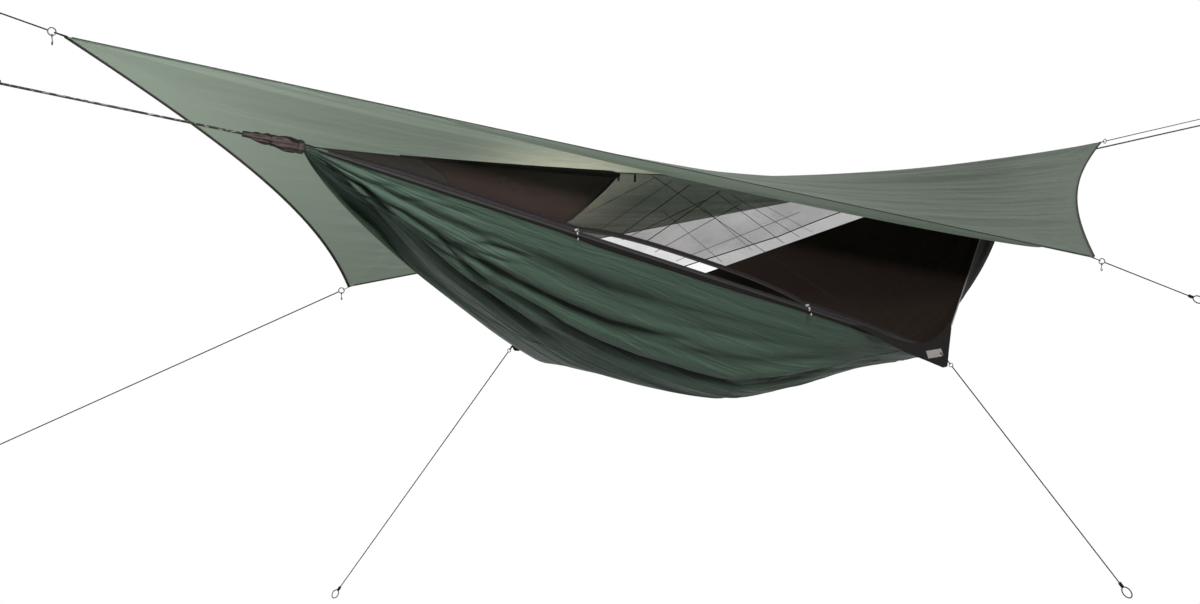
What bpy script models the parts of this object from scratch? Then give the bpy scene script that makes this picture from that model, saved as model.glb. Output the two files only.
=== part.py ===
# Hammock tent: a gathered-end hammock with a lopsided lay, an insect net that
# zips on along one side, and a slanted rain tarp over its ridge cord.
# Metres, +Z up. The origin is the eye of the head rope, where the tent hangs.
# +X runs along the ridge to the foot rope, and -Y is the side with the zip.

import math

import bmesh
import bpy
from mathutils import Matrix, Vector

# Hammock: sizes measured from the two gathers, where the cloth is bunched.
RIDGE_LENGTH = 2.80
BODY_HANG = 0.775
TIE_OUT_SHIFT = 0.440
TIE_OUT_REACH = 0.550
TIE_OUT_HANG = 0.604
GATHER_HALF_WIDTH = 0.015
GATHER_DEPTH = 0.015
SHORT_EDGE_SLACK = 0.085
SHORT_EDGE_SLACK_DROP = 0.047
SLACK_POWERS = (0.7, 1.3)
HANG_POWER = 1.45
CLOTH_THICKNESS = 0.0020

# Long folds of its cloth: their height, and for each gather the share of the
# ridge they run over, how steeply they rise and fade, how many lie across the
# cloth and how far they turn along it.
FOLD_DEPTH = 0.007
HEAD_FOLDS = (0.9, 1.2, 3.5, 0.25)
FOOT_FOLDS = (0.8, 2.0, 4.5, 0.4)
FOOT_FOLD_SHARE = 0.6
FOLD_EDGE_POWER = 6

# Ridge cord and the corded piping round the rim of the hammock.
RIDGE_CORD_DIAMETER = 0.0030
RIDGE_CORD_SAG = 0.052
PIPING_DIAMETER = 0.0040
PIPING_CORNER_SHARE = 0.012

# Insect net and its zip.
NET_THICKNESS = 0.0012
ZIP_TAPE_WIDTH = 0.0120
ZIP_TAPE_THICKNESS = 0.0014
ZIP_CHAIN_GAP = 0.0006
ZIP_SEAM = 0.0005
MOUTH_COLUMNS = 12
NET_COLUMNS = 8
NET_ROWS = 6
ZIP_MOUTH = 0.042
ZIP_MOUTH_SHARES = (0.387, 0.755)
ZIP_RUN_SHARES = (0.030, 0.955)
ZIP_TAPER_SHARE = 0.10
ZIP_TAPER_END_SHARE = 0.25
CURVED_SEAM_SHARES = (0.200, 0.174)
CURVED_SEAM_BOW_SHARE = 0.012
STRAIGHT_SEAM_SHARES = (0.374, 0.545)
RIDGE_LOOP_SHARES = (0.358, 0.380)
RIDGE_LOOP_LENGTH = 0.024
RIDGE_LOOP_WIDTH = 0.009
RIDGE_LOOP_WIRE = 0.0016

# Zip sliders and their pulls.
SLIDER_LENGTH = 0.014
SLIDER_WIDTH = 0.0095
SLIDER_THICKNESS = 0.0026
BRIDGE_LENGTH = 0.0100
BRIDGE_HEIGHT = 0.0042
BRIDGE_WIRE = 0.0016
PULL_LENGTH = 0.046
PULL_WIDTH = 0.0050
PULL_THICKNESS = 0.0024
PULL_EYE_RADIUS = 0.0014
PULL_HEAD_TURNS = [math.pi / 2 + math.pi * i / 6 for i in range(7)]

# Ropes, their wrapped sleeves and the guylines.
HEAD_ROPE_RUN = 0.760
HEAD_ROPE_DROP = 0.125
FOOT_ROPE_RUN = 1.490
FOOT_ROPE_RISE = 0.250
ROPE_DIAMETER = 0.0060
SLEEVE_LENGTH = 0.160
SLEEVE_FAT_RADIUS = 0.0195
SLEEVE_THIN_RADIUS = 0.0050
SLEEVE_STRAIGHT = 0.006
GUYLINE_DIAMETER = 0.0028
EYE_RADIUS = 0.0120
EYE_STRETCH = 1.5
KNOT_LENGTH_IN_CORDS = 5.0
KNOT_RADIUS_IN_CORDS = 1.15
KNOT_END_IN_CORDS = 0.75

# Rain tarp, with its corners measured from the middle of the gathers.
TARP_HEAD_REACH = 1.975
TARP_HEAD_RISE = 0.236
TARP_FOOT_REACH = 2.041
TARP_FOOT_RISE = 0.131
TARP_NEAR_SHIFT = 0.995
TARP_NEAR_REACH = 0.693
TARP_NEAR_DROP = 0.311
TARP_FAR_SHIFT = 0.990
TARP_FAR_REACH = 0.686
TARP_FAR_DROP = 0.410
TARP_RIDGE_LOW_SHIFT = 0.090
TARP_REST = 0.0022
TARP_SAG_POWER = 1.6
TARP_CREASE_POWER = 1.5
TARP_SHORT_EDGE_CUT = 0.100
TARP_LONG_SIDE = 3.130
TARP_FLAP = 0.034
TARP_HEM = 0.004
TARP_ROWS = 17
TARP_FLAP_SHARES = (0.30, 0.93)
TARP_WRINKLE = 0.004
TARP_WRINKLES = 2.5
TARP_THICKNESS = 0.0016
BINDING_DIAMETER = 0.0050

# Corner webbing, rings and hooks.
WEBBING_LENGTH = 0.022
WEBBING_BASE = 0.020
WEBBING_TIP = 0.012
WEBBING_THICKNESS = 0.0016
TIE_OUT_WEBBING_LENGTH = 0.040
TIE_OUT_WEBBING_BASE = 0.034
EYELET_RADIUS = 0.0026
EYELET_MARGIN = 0.0036
RING_RADIUS = 0.0090
RING_WIRE = 0.0030
SMALL_RING_RADIUS = 0.0058
SMALL_RING_WIRE = 0.0024
HOOK_WIRE = 0.0024
HOOK_EYE_RADIUS = 0.0034
HOOK_THROAT_RADIUS = 0.0060
HOOK_SHANK = 0.012
HOOK_EYE_TURNS = [math.radians(-40 - 280 * i / 9) for i in range(10)]
HOOK_THROAT_TURNS = [math.radians(100 - 200 * i / 7) for i in range(8)]

# Far ends of the guylines, as run, sideways run and drop from each corner.
HEAD_GUY = (0.175, 0.0, 0.052)
FOOT_GUY = (0.790, 0.0, 0.138)
NEAR_GUY = (0.278, 0.195, 0.134)
FAR_GUY = (0.985, 0.695, 0.540)
NEAR_PEG_LINE = (0.300, 0.455, 0.690)
FAR_PEG_LINE = (0.430, 0.590, 0.960)

# Clearance left between pieces that touch, and the steps used to find slopes.
SEAM_GAP = 0.0003
SLOPE_STEP_SHARE = 0.002
EDGE_STEP_SHARE = 0.01
WELD_DISTANCE = 0.00001
TUBE_ROUNDNESS = 2
DOWN = Vector((0, 0, -1))
UP = Vector((0, 0, 1))

PART = bpy.data.collections.new("hammock_tent")
TOOLS = bpy.data.collections.new("cutters")

GATHER_HEAD = Vector((HEAD_ROPE_RUN, 0, -HEAD_ROPE_DROP))
GATHER_FOOT = GATHER_HEAD + Vector((RIDGE_LENGTH, 0, 0))
MIDDLE = (GATHER_HEAD + GATHER_FOOT) / 2
NEAR_TIE = MIDDLE + Vector((TIE_OUT_SHIFT, -TIE_OUT_REACH, -TIE_OUT_HANG))
FAR_TIE = MIDDLE + Vector((-TIE_OUT_SHIFT, TIE_OUT_REACH, -TIE_OUT_HANG))
FOOT_ROPE_EYE = GATHER_FOOT + Vector((FOOT_ROPE_RUN, 0, FOOT_ROPE_RISE))
TARP_HEAD = MIDDLE + Vector((-TARP_HEAD_REACH, 0, TARP_HEAD_RISE))
TARP_FOOT = MIDDLE + Vector((TARP_FOOT_REACH, 0, TARP_FOOT_RISE))
TARP_NEAR = MIDDLE + Vector((TARP_NEAR_SHIFT, -TARP_NEAR_REACH, -TARP_NEAR_DROP))
TARP_FAR = MIDDLE + Vector((-TARP_FAR_SHIFT, TARP_FAR_REACH, -TARP_FAR_DROP))


def finish(name, colour, roughness, metallic=0.0):
    """A Principled material with the finish of one kind of piece."""
    material = bpy.data.materials.new(name)
    material.use_nodes = True
    shader = material.node_tree.nodes["Principled BSDF"]
    shader.inputs["Base Color"].default_value = (*colour, 1)
    shader.inputs["Roughness"].default_value = roughness
    shader.inputs["Metallic"].default_value = metallic
    return material


def place_object(name, data, material, matrix=None):
    """Name the object, give it its material and put it with the part."""
    piece = bpy.data.objects.new(name, data)
    data.materials.append(material)
    if matrix is not None:
        piece.matrix_world = matrix
    PART.objects.link(piece)
    return piece


def aimed(at, forward, up):
    """A frame at a point, with X forward and Z as near to up as it can be."""
    x = forward.normalized()
    y = up.cross(x).normalized()
    z = x.cross(y)
    turn = Matrix((x, y, z)).transposed().to_4x4()
    return Matrix.Translation(at) @ turn


def sheet(name, surface, along, across, thickness, material):
    """Cloth: a grid laid on surface(share along, share across), made solid."""
    cloth = bmesh.new()
    bmesh.ops.create_grid(cloth, x_segments=along, y_segments=across, size=1)
    for corner in cloth.verts:
        corner.co = surface((corner.co.x + 1) / 2, (corner.co.y + 1) / 2)
    mesh = bpy.data.meshes.new(name)
    cloth.to_mesh(mesh)
    cloth.free()
    mesh.shade_smooth()
    piece = place_object(name, mesh, material)
    wall = piece.modifiers.new("thickness", "SOLIDIFY")
    wall.thickness = thickness
    wall.offset = 0
    return piece


def tube(name, points, diameter, material, radii=None, roundness=TUBE_ROUNDNESS, matrix=None):
    """Cord, wire or piping: a bevelled curve through the points, with caps."""
    curve = bpy.data.curves.new(name, "CURVE")
    curve.dimensions = "3D"
    curve.bevel_depth = diameter / 2
    curve.bevel_resolution = roundness
    curve.use_fill_caps = True
    line = curve.splines.new("POLY")
    line.points.add(len(points) - 1)
    for knot, place in zip(line.points, points):
        knot.co = (*place, 1)
    if radii:
        for knot, radius in zip(line.points, radii):
            knot.radius = radius / (diameter / 2)
    piece = place_object(name, curve, material, matrix)
    weld = piece.modifiers.new("caps", "WELD")
    weld.merge_threshold = WELD_DISTANCE
    return piece


def straight(start, end, count):
    """Evenly spaced points from start to end."""
    return [start.lerp(end, i / (count - 1)) for i in range(count)]


def outline_plate(name, outlines, thickness, matrix, material):
    """A flat piece: closed outlines filled between them and given a thickness."""
    curve = bpy.data.curves.new(name, "CURVE")
    curve.dimensions = "2D"
    curve.fill_mode = "BOTH"
    curve.extrude = thickness / 2
    for outline in outlines:
        line = curve.splines.new("POLY")
        line.points.add(len(outline) - 1)
        for knot, (x, y) in zip(line.points, outline):
            knot.co = (x, y, 0, 1)
        line.use_cyclic_u = True
    piece = place_object(name, curve, material, matrix)
    weld = piece.modifiers.new("edges", "WELD")
    weld.merge_threshold = WELD_DISTANCE
    return piece


def round_hole(x, radius, count=12):
    """The outline of a round hole centred at x on the middle line."""
    return [
        (x + radius * math.cos(math.tau * i / count), radius * math.sin(math.tau * i / count))
        for i in range(count)
    ]


def frozen(piece):
    """The object's evaluated mesh as a plain mesh, with its place applied."""
    bpy.context.view_layer.update()
    shape = piece.evaluated_get(bpy.context.evaluated_depsgraph_get())
    mesh = bpy.data.meshes.new_from_object(shape)
    mesh.transform(piece.matrix_world)
    return mesh


def united(name, pieces, frame, material):
    """Join closed pieces that cross into one solid, with its origin on the frame."""
    meshes = [frozen(piece) for piece in pieces]
    for piece in pieces:
        bpy.data.objects.remove(piece)
    for mesh in meshes:
        mesh.transform(frame.inverted())
        mesh.materials.clear()
    body = place_object(name, meshes[0], material, frame)
    for number, mesh in enumerate(meshes[1:]):
        tool = bpy.data.objects.new(f"{name}_tool_{number}", mesh)
        tool.matrix_world = frame
        tool.hide_render = True
        tool.display_type = "WIRE"
        TOOLS.objects.link(tool)
        join = body.modifiers.new("join", "BOOLEAN")
        join.operation = "UNION"
        join.object = tool
    return body


def torus(name, matrix, radius, wire, material, around=14, sides=6, stretch=1.0):
    """A ring of round wire, lying in the XY plane of its frame."""
    bpy.ops.mesh.primitive_torus_add(
        major_radius=radius, minor_radius=wire / 2, major_segments=around, minor_segments=sides
    )
    made = bpy.context.object
    mesh = made.data
    mesh.name = name
    mesh.shade_smooth()
    bpy.data.objects.remove(made)
    mesh.transform(Matrix.Diagonal((stretch, 1, 1, 1)))
    return place_object(name, mesh, material, matrix)


def barrel(name, matrix, length, radius, end_radius, material, steps=8):
    """A knot wound round a cord: a turned barrel, X along its length."""
    radii = (0, end_radius, radius, radius, end_radius, 0)
    height_shares = (1, 1, 0.55, -0.55, -1, -1)
    mesh = bpy.data.meshes.new(name)
    corners = [(r, 0, share * length / 2) for r, share in zip(radii, height_shares)]
    mesh.from_pydata(corners, [(i, i + 1) for i in range(len(corners) - 1)], [])
    quarter = Matrix.Rotation(math.pi / 2, 4, "Y")
    piece = place_object(name, mesh, material, matrix @ quarter)
    turn = piece.modifiers.new("turn", "SCREW")
    turn.steps = steps
    turn.render_steps = steps
    turn.use_merge_vertices = True
    turn.merge_threshold = WELD_DISTANCE
    return piece


def unit_slope(surface, s, v):
    """How far a whole share across leads away from the edge, at one place of it."""
    step = SLOPE_STEP_SHARE
    inward = surface(s, v + step if v < 0.5 else v - step) - surface(s, v)
    edge = (surface(min(s + step, 1), v) - surface(max(s - step, 0), v)).normalized()
    return (inward - edge * inward.dot(edge)).length / step


def trimmed(surface, low, high):
    """The surface with a strip of a given width, in metres, left off each edge."""

    def inner(s, v):
        start = low(s) / unit_slope(surface, s, 0)
        stop = high(s) / unit_slope(surface, s, 1)
        return surface(s, start + v * (1 - start - stop))

    return inner


def rim(s, side):
    """The rim of the hammock at a share of the ridge; side -1 near, 1 far."""
    tie = NEAR_TIE if side < 0 else FAR_TIE
    tie_share = (tie.x - GATHER_HEAD.x) / RIDGE_LENGTH
    bunch = Vector((0, side * GATHER_HALF_WIDTH, 0))
    if s <= tie_share:
        return (GATHER_HEAD + bunch).lerp(tie, s / tie_share)
    return tie.lerp(GATHER_FOOT + bunch, (s - tie_share) / (1 - tie_share))


def ridge_cord_at(s):
    """The ridge cord's centreline, which the net and the tarp pull down."""
    sag = RIDGE_CORD_SAG * (1 - (2 * s - 1) ** 2)
    return GATHER_HEAD.lerp(GATHER_FOOT, s) + DOWN * sag


def body_lay(s, v):
    """The hammock's cloth without its folds; v is 0 at the near rim and 1 at the far."""
    w = 2 * v - 1
    near = rim(s, -1)
    far = rim(s, 1)
    level = GATHER_HEAD.z - GATHER_DEPTH - BODY_HANG * (1 - abs(2 * s - 1) ** HANG_POWER)
    depth = (near.z + far.z) / 2 - level
    place = near.lerp(far, v) + DOWN * depth * (1 - w * w)
    side = 1 if s < 0.5 else -1
    tie_share = 0.5 - TIE_OUT_SHIFT / RIDGE_LENGTH
    t = min(s, 1 - s) / tie_share
    if w * side > 0 and t < 1:
        along, across = SLACK_POWERS
        slack = math.sin(math.pi * t**along) * math.sin(math.pi * abs(w) ** across)
        place += Vector((0, side * SHORT_EDGE_SLACK, -SHORT_EDGE_SLACK_DROP)) * slack
    return place


def folds(t, v, reach_share, power, count, turn):
    """Height of the folds from one gather, at a share t of the cloth from it."""
    swell = math.sin(math.pi * min(1, t / reach_share)) ** power
    return swell * math.cos(math.tau * (count * v + turn * t))


def body_cloth(s, v):
    """The lay with the long folds that run out from each gather."""
    step = EDGE_STEP_SHARE
    inside = min(max(s, step), 1 - step)
    across = min(max(v, step), 1 - step)
    run = body_lay(inside + step, v) - body_lay(inside - step, v)
    span = body_lay(s, across + step) - body_lay(s, across - step)
    outward = span.cross(run).normalized()
    edge = 1 - (2 * v - 1) ** FOLD_EDGE_POWER
    height = folds(s, v, *HEAD_FOLDS) + FOOT_FOLD_SHARE * folds(1 - s, v, *FOOT_FOLDS)
    return body_lay(s, v) + outward * FOLD_DEPTH * edge * height


# The zip runs on a straight line from the head gather to the near tie-out, in
# the plane of that line and the middle of the ridge cord.
ZIP_START = rim(0, -1)
ZIP_LINE = NEAR_TIE - ZIP_START
ZIP_FORWARD = ZIP_LINE.normalized()
ZIP_OUT = ZIP_FORWARD.cross(ridge_cord_at(0.5) - ZIP_START).normalized()
ZIP_ACROSS = ZIP_OUT.cross(ZIP_FORWARD)
NEAR_TIE_SHARE = (NEAR_TIE.x - GATHER_HEAD.x) / RIDGE_LENGTH
FAR_TIE_SHARE = (FAR_TIE.x - GATHER_HEAD.x) / RIDGE_LENGTH
SEAT = PIPING_DIAMETER / 2 + SEAM_GAP


def zip_taper(t):
    """Tape width as a share of the full one: it is bunched up at both ends."""
    low, high = ZIP_RUN_SHARES
    near_end = min((t - low) / ZIP_TAPER_SHARE, (high - t) / ZIP_TAPER_SHARE, 1)
    return ZIP_TAPER_END_SHARE + (1 - ZIP_TAPER_END_SHARE) * max(near_end, 0)


def zip_mouth(t):
    """How far the two halves of the zip stand apart between the sliders."""
    low, high = ZIP_MOUTH_SHARES
    share = (t - low) / (high - low)
    if share <= 0 or share >= 1:
        return 0
    return ZIP_MOUTH * (1 - abs(2 * share - 1) ** 3)


def zip_place(t, height):
    """A point of the zip's plane: a share along the line, a height above it."""
    return ZIP_START + ZIP_LINE * t + ZIP_ACROSS * height


def body_tape_top(t):
    return SEAT + ZIP_TAPE_WIDTH * zip_taper(t)


def net_tape_foot(t):
    return body_tape_top(t) + ZIP_CHAIN_GAP + zip_mouth(t)


def net_tape_top(t):
    return net_tape_foot(t) + ZIP_TAPE_WIDTH * zip_taper(t)


def spread(*runs):
    """Values from the first start to the last stop, in a count of steps a run."""
    values = [runs[0][0]]
    for start, stop, steps in runs:
        values += [start + (stop - start) * (i + 1) / steps for i in range(steps)]
    return values


def through(values, s):
    """The value at a share of the way along an evenly numbered list."""
    place = min(max(s, 0), 1) * (len(values) - 1)
    first = min(int(place), len(values) - 2)
    return values[first] + (values[first + 1] - values[first]) * (place - first)


def near_net(t, v):
    """The near net between the head gather and the tie-out, zip to ridge cord."""
    foot = zip_place(t, net_tape_top(t) + ZIP_SEAM)
    top = ridge_cord_at(t * NEAR_TIE_SHARE)
    return foot.lerp(top, v)


def near_net_seam(shares, bow, v):
    foot, top = shares
    return foot + (top - foot) * v + bow * math.sin(math.pi * v)


def net_between(first, second, columns):
    """The near net between two seams, each a function of the share across."""

    def surface(s, v):
        low = first(v)
        high = second(v)
        share = (through(columns, s) - columns[0]) / (columns[-1] - columns[0])
        return near_net(low + share * (high - low), v)

    return trimmed(surface, lambda s: SEAM_GAP, lambda s: RIDGE_CORD_DIAMETER / 2 + SEAM_GAP)


def rim_net(first, second, side):
    """Net between two shares of the ridge, from the rim's piping to the cord."""

    def surface(s, v):
        share = first + s * (second - first)
        return rim(share, side).lerp(ridge_cord_at(share), v)

    return trimmed(surface, lambda s: SEAT, lambda s: RIDGE_CORD_DIAMETER / 2 + SEAM_GAP)


def hammock():
    """The sewn hammock: its body, piping, ridge cord and wrapped gathers."""
    green = finish("hammock_nylon", (0.055, 0.105, 0.075), 0.6)
    black = finish("black_cord", (0.02, 0.02, 0.02), 0.7)
    start = (CLOTH_THICKNESS / 2 + SEAM_GAP) / RIDGE_LENGTH

    def body_seat(s):
        return SEAT + CLOTH_THICKNESS / 4

    def body(s, v):
        return trimmed(body_cloth, body_seat, body_seat)(start + s * (1 - 2 * start), v)

    sheet("hammock_body", body, 32, 18, CLOTH_THICKNESS, green)
    piping = finish("piping", (0.10, 0.16, 0.12), 0.6)
    for name, side, tie_share in (
        ("rim_piping_near", -1, NEAR_TIE_SHARE),
        ("rim_piping_far", 1, FAR_TIE_SHARE),
    ):
        shares = [start + (tie_share - PIPING_CORNER_SHARE) * i / 8 for i in range(9)]
        rest = 1 - start - tie_share - PIPING_CORNER_SHARE
        shares += [tie_share] + [tie_share + PIPING_CORNER_SHARE + rest * i / 8 for i in range(9)]
        tube(name, [rim(share, side) for share in shares], PIPING_DIAMETER, piping)
    count = 20
    cord = [ridge_cord_at(start + (1 - 2 * start) * i / count) for i in range(count + 1)]
    tube("ridge_cord", cord, RIDGE_CORD_DIAMETER, black)


def sleeves_and_ropes():
    """The wrapped sleeve over each gather and the rope that leaves it."""
    wrap = finish("sleeve_wrap", (0.045, 0.038, 0.035), 0.8)
    rope = finish("suspension_rope", (0.05, 0.05, 0.05), 0.7)
    width_shares = (1.0, 0.98, 0.90, 0.78, 0.72, 0.62, 0.45, 0.32)
    for end, gather, eye, way in (
        ("head", GATHER_HEAD, Vector(), -1),
        ("foot", GATHER_FOOT, FOOT_ROPE_EYE, 1),
    ):
        direction = (eye - gather).normalized()
        first = gather + Vector((way * SEAM_GAP, 0, -GATHER_DEPTH / 3))
        second = first + Vector((way * SLEEVE_STRAIGHT, 0, 0))
        last = gather + direction * SLEEVE_LENGTH
        points = [first] + straight(second, last, len(width_shares) - 1)
        radii = [SLEEVE_FAT_RADIUS * share for share in width_shares]
        radii[-1] = SLEEVE_THIN_RADIUS
        tube(f"gather_sleeve_{end}", points, SLEEVE_FAT_RADIUS * 2, wrap, radii, 4)
        rope_start = last + direction * SEAM_GAP
        knot_face = eye - direction * (EYE_RADIUS * EYE_STRETCH + knot_length(ROPE_DIAMETER))
        points = straight(rope_start, knot_face - direction * SEAM_GAP, 8)
        tube(f"suspension_rope_{end}", points, ROPE_DIAMETER, rope)
        eye_loop(f"rope_eye_{end}", eye, direction, ROPE_DIAMETER, rope)


def knot_length(cord):
    return cord * KNOT_LENGTH_IN_CORDS


def eye_loop(name, centre, direction, cord, material):
    """A tied eye: a loop of the cord whose legs run into the knot's barrel."""
    frame = aimed(centre, direction, UP) @ Matrix.Rotation(math.pi / 2, 4, "X")
    loop = torus(name + "_loop", frame, EYE_RADIUS, cord, material, 12, 6, EYE_STRETCH)
    length = knot_length(cord)
    back = EYE_RADIUS * EYE_STRETCH + length / 2
    knot = barrel(
        name + "_knot",
        aimed(centre - direction * back, direction, UP),
        length,
        cord * KNOT_RADIUS_IN_CORDS,
        cord * KNOT_END_IN_CORDS,
        material,
    )
    united(name, [loop, knot], Matrix.Translation(centre), material)


def insect_net():
    """The net panels on both sides of the ridge cord."""
    net = finish("net", (0.03, 0.027, 0.025), 0.8)
    dark = finish("dark_net", (0.015, 0.013, 0.012), 0.8)
    half = SEAM_GAP / 2
    end = CLOTH_THICKNESS / RIDGE_LENGTH
    nudge = half / ZIP_LINE.length

    def curved(v):
        return near_net_seam(CURVED_SEAM_SHARES, CURVED_SEAM_BOW_SHARE, v)

    def seam(v):
        return near_net_seam(STRAIGHT_SEAM_SHARES, 0, v)

    mouth_start, mouth_end = ZIP_MOUTH_SHARES
    even = spread((0, 1, NET_COLUMNS))
    past_zip = spread(
        (seam(0), mouth_start, 1),
        (mouth_start, mouth_end, MOUTH_COLUMNS),
        (mouth_end, ZIP_RUN_SHARES[1], 2),
        (ZIP_RUN_SHARES[1], 1, 1),
    )
    panels = (
        ("net_head_panel", lambda v: end, lambda v: curved(v) - nudge, even, net),
        ("net_dark_panel", lambda v: curved(v) + nudge, lambda v: seam(v) - nudge, even, dark),
        ("net_zip_panel", lambda v: seam(v) + nudge, lambda v: 1 - 3 * nudge, past_zip, net),
    )
    for name, first, second, columns, material in panels:
        panel = net_between(first, second, columns)
        sheet(name, panel, len(columns) - 1, NET_ROWS, NET_THICKNESS, material)
    gap = NET_THICKNESS / RIDGE_LENGTH
    zip_lean = net_tape_top(1) * ZIP_ACROSS.x / RIDGE_LENGTH
    for name, first, second, side in (
        ("net_foot_panel", NEAR_TIE_SHARE + gap + zip_lean, 1 - end, -1),
        ("net_far_head_panel", end, FAR_TIE_SHARE - gap, 1),
        ("net_far_panel", FAR_TIE_SHARE + gap, 1 - end, 1),
    ):
        sheet(name, rim_net(first, second, side), NET_COLUMNS, NET_ROWS, NET_THICKNESS, net)


def ridge_loops():
    """Two small loops sewn under the ridge cord, to hang things from."""
    black = finish("loop_webbing", (0.02, 0.02, 0.02), 0.7)
    for number, share in enumerate(RIDGE_LOOP_SHARES, 1):
        drop = RIDGE_CORD_DIAMETER / 2 + SEAM_GAP + RIDGE_LOOP_LENGTH / 2
        frame = aimed(ridge_cord_at(share) + DOWN * drop, DOWN, Vector((1, 0, 0)))
        radius = (RIDGE_LOOP_WIDTH - RIDGE_LOOP_WIRE) / 2
        stretch = RIDGE_LOOP_LENGTH / (2 * radius + RIDGE_LOOP_WIRE)
        torus(f"ridge_loop_{number}", frame, radius, RIDGE_LOOP_WIRE, black, 14, 6, stretch)


def zip_and_sliders():
    """The two tapes of the zip, and the two sliders with their pulls."""
    tape = finish("zip_tape", (0.05, 0.045, 0.05), 0.7)
    steel = finish("zip_slider", (0.6, 0.6, 0.6), 0.35, 1.0)
    pull_cord = finish("zip_pull", (0.1, 0.1, 0.1), 0.7)

    columns = spread(
        (ZIP_RUN_SHARES[0], ZIP_MOUTH_SHARES[0], MOUTH_COLUMNS),
        (ZIP_MOUTH_SHARES[0], ZIP_MOUTH_SHARES[1], MOUTH_COLUMNS),
        (ZIP_MOUTH_SHARES[1], ZIP_RUN_SHARES[1], MOUTH_COLUMNS // 2),
    )

    def body_tape(s, v):
        t = through(columns, s)
        return zip_place(t, SEAT + v * (body_tape_top(t) - SEAT))

    def net_tape(s, v):
        t = through(columns, s)
        return zip_place(t, net_tape_foot(t) + v * (net_tape_top(t) - SEAM_GAP - net_tape_foot(t)))

    sheet("zip_tape_body", body_tape, len(columns) - 1, 1, ZIP_TAPE_THICKNESS, tape)
    sheet("zip_tape_net", net_tape, len(columns) - 1, 1, ZIP_TAPE_THICKNESS, tape)
    chain = SEAT + ZIP_TAPE_WIDTH + ZIP_CHAIN_GAP / 2
    lift = ZIP_TAPE_THICKNESS / 2 + SEAM_GAP + SLIDER_THICKNESS / 2
    outline_shares = ((-0.5, -0.5), (-0.1, -0.5), (0.5, -0.32), (0.5, 0.32), (-0.1, 0.5), (-0.5, 0.5))
    for end, t, way in (("head", ZIP_MOUTH_SHARES[0], -1), ("foot", ZIP_MOUTH_SHARES[1], 1)):
        centre = zip_place(t, chain) + ZIP_OUT * lift + ZIP_FORWARD * way * SLIDER_LENGTH / 2
        frame = aimed(centre, ZIP_FORWARD * way, ZIP_OUT)
        outline = [(x * SLIDER_LENGTH, y * SLIDER_WIDTH) for x, y in outline_shares]
        plate = outline_plate(f"slider_{end}_plate", [outline], SLIDER_THICKNESS, frame, steel)
        arch = []
        for i in range(9):
            turn = math.pi * i / 8
            x = -BRIDGE_LENGTH / 2 * math.cos(turn)
            z = BRIDGE_HEIGHT * math.sin(turn)
            arch.append((x, 0, z + SLIDER_THICKNESS / 4))
        bridge = tube(f"slider_{end}_bridge", arch, BRIDGE_WIRE, steel, None, 1, frame)
        united(f"zip_slider_{end}", [plate, bridge], frame, steel)
        bar = frame @ Vector((0, 0, BRIDGE_HEIGHT + SLIDER_THICKNESS / 4))
        eye = PULL_EYE_RADIUS - BRIDGE_WIRE / 2 - SEAM_GAP
        lying = aimed(bar, -ZIP_ACROSS, ZIP_FORWARD * way)
        half = PULL_WIDTH / 2
        body = [(eye + half * math.cos(turn), half * math.sin(turn)) for turn in PULL_HEAD_TURNS]
        body += [(eye + PULL_LENGTH, -half), (eye + PULL_LENGTH, half)]
        hole = round_hole(eye, PULL_EYE_RADIUS, 10)
        outline_plate(f"zip_pull_{end}", [body, hole], PULL_THICKNESS, lying, pull_cord)


def webbing(name, corner, direction, length, base, material):
    """Make a sewn webbing tab with an eyelet at its tip; give the eyelet's frame."""
    frame = aimed(corner + direction * SEAM_GAP, direction, UP)
    eyelet = length - EYELET_MARGIN - EYELET_RADIUS / 2
    outline = [
        (0, -base / 2),
        (length - WEBBING_TIP / 3, -WEBBING_TIP / 2),
        (length, -WEBBING_TIP / 3),
        (length, WEBBING_TIP / 3),
        (length - WEBBING_TIP / 3, WEBBING_TIP / 2),
        (0, base / 2),
    ]
    outlines = [outline, round_hole(eyelet, EYELET_RADIUS)]
    outline_plate(name, outlines, WEBBING_THICKNESS, frame, material)
    return frame @ Matrix.Translation((eyelet, 0, 0))


def ring_through(name, eyelet, radius, wire, material):
    """A ring through an eyelet, pulled against the eyelet's outer edge."""
    pulled = EYELET_RADIUS - wire / 2 - SEAM_GAP
    frame = eyelet @ Matrix.Translation((pulled + radius, 0, 0))
    torus(name, frame @ Matrix.Rotation(math.pi / 2, 4, "X"), radius, wire, material)
    return frame


def s_hook(name, frame, ring_wire, material):
    """A bent wire hook: an eye round a ring's wire, a shank and an open throat.

    The frame's origin is the ring's wire, X points along the pull.
    """
    eye = HOOK_EYE_RADIUS - HOOK_WIRE / 2 - ring_wire / 2 - SEAM_GAP
    points = []
    for turn in HOOK_EYE_TURNS:
        points.append((eye + HOOK_EYE_RADIUS * math.cos(turn), HOOK_EYE_RADIUS * math.sin(turn), 0))
    points.append((eye + HOOK_EYE_RADIUS + HOOK_SHANK / 3, 0, 0))
    end = eye + HOOK_EYE_RADIUS + HOOK_SHANK
    for turn in HOOK_THROAT_TURNS:
        points.append((end + HOOK_THROAT_RADIUS * math.cos(turn), HOOK_THROAT_RADIUS * math.sin(turn), 0))
    tube(name, points, HOOK_WIRE, material, matrix=frame)


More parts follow.
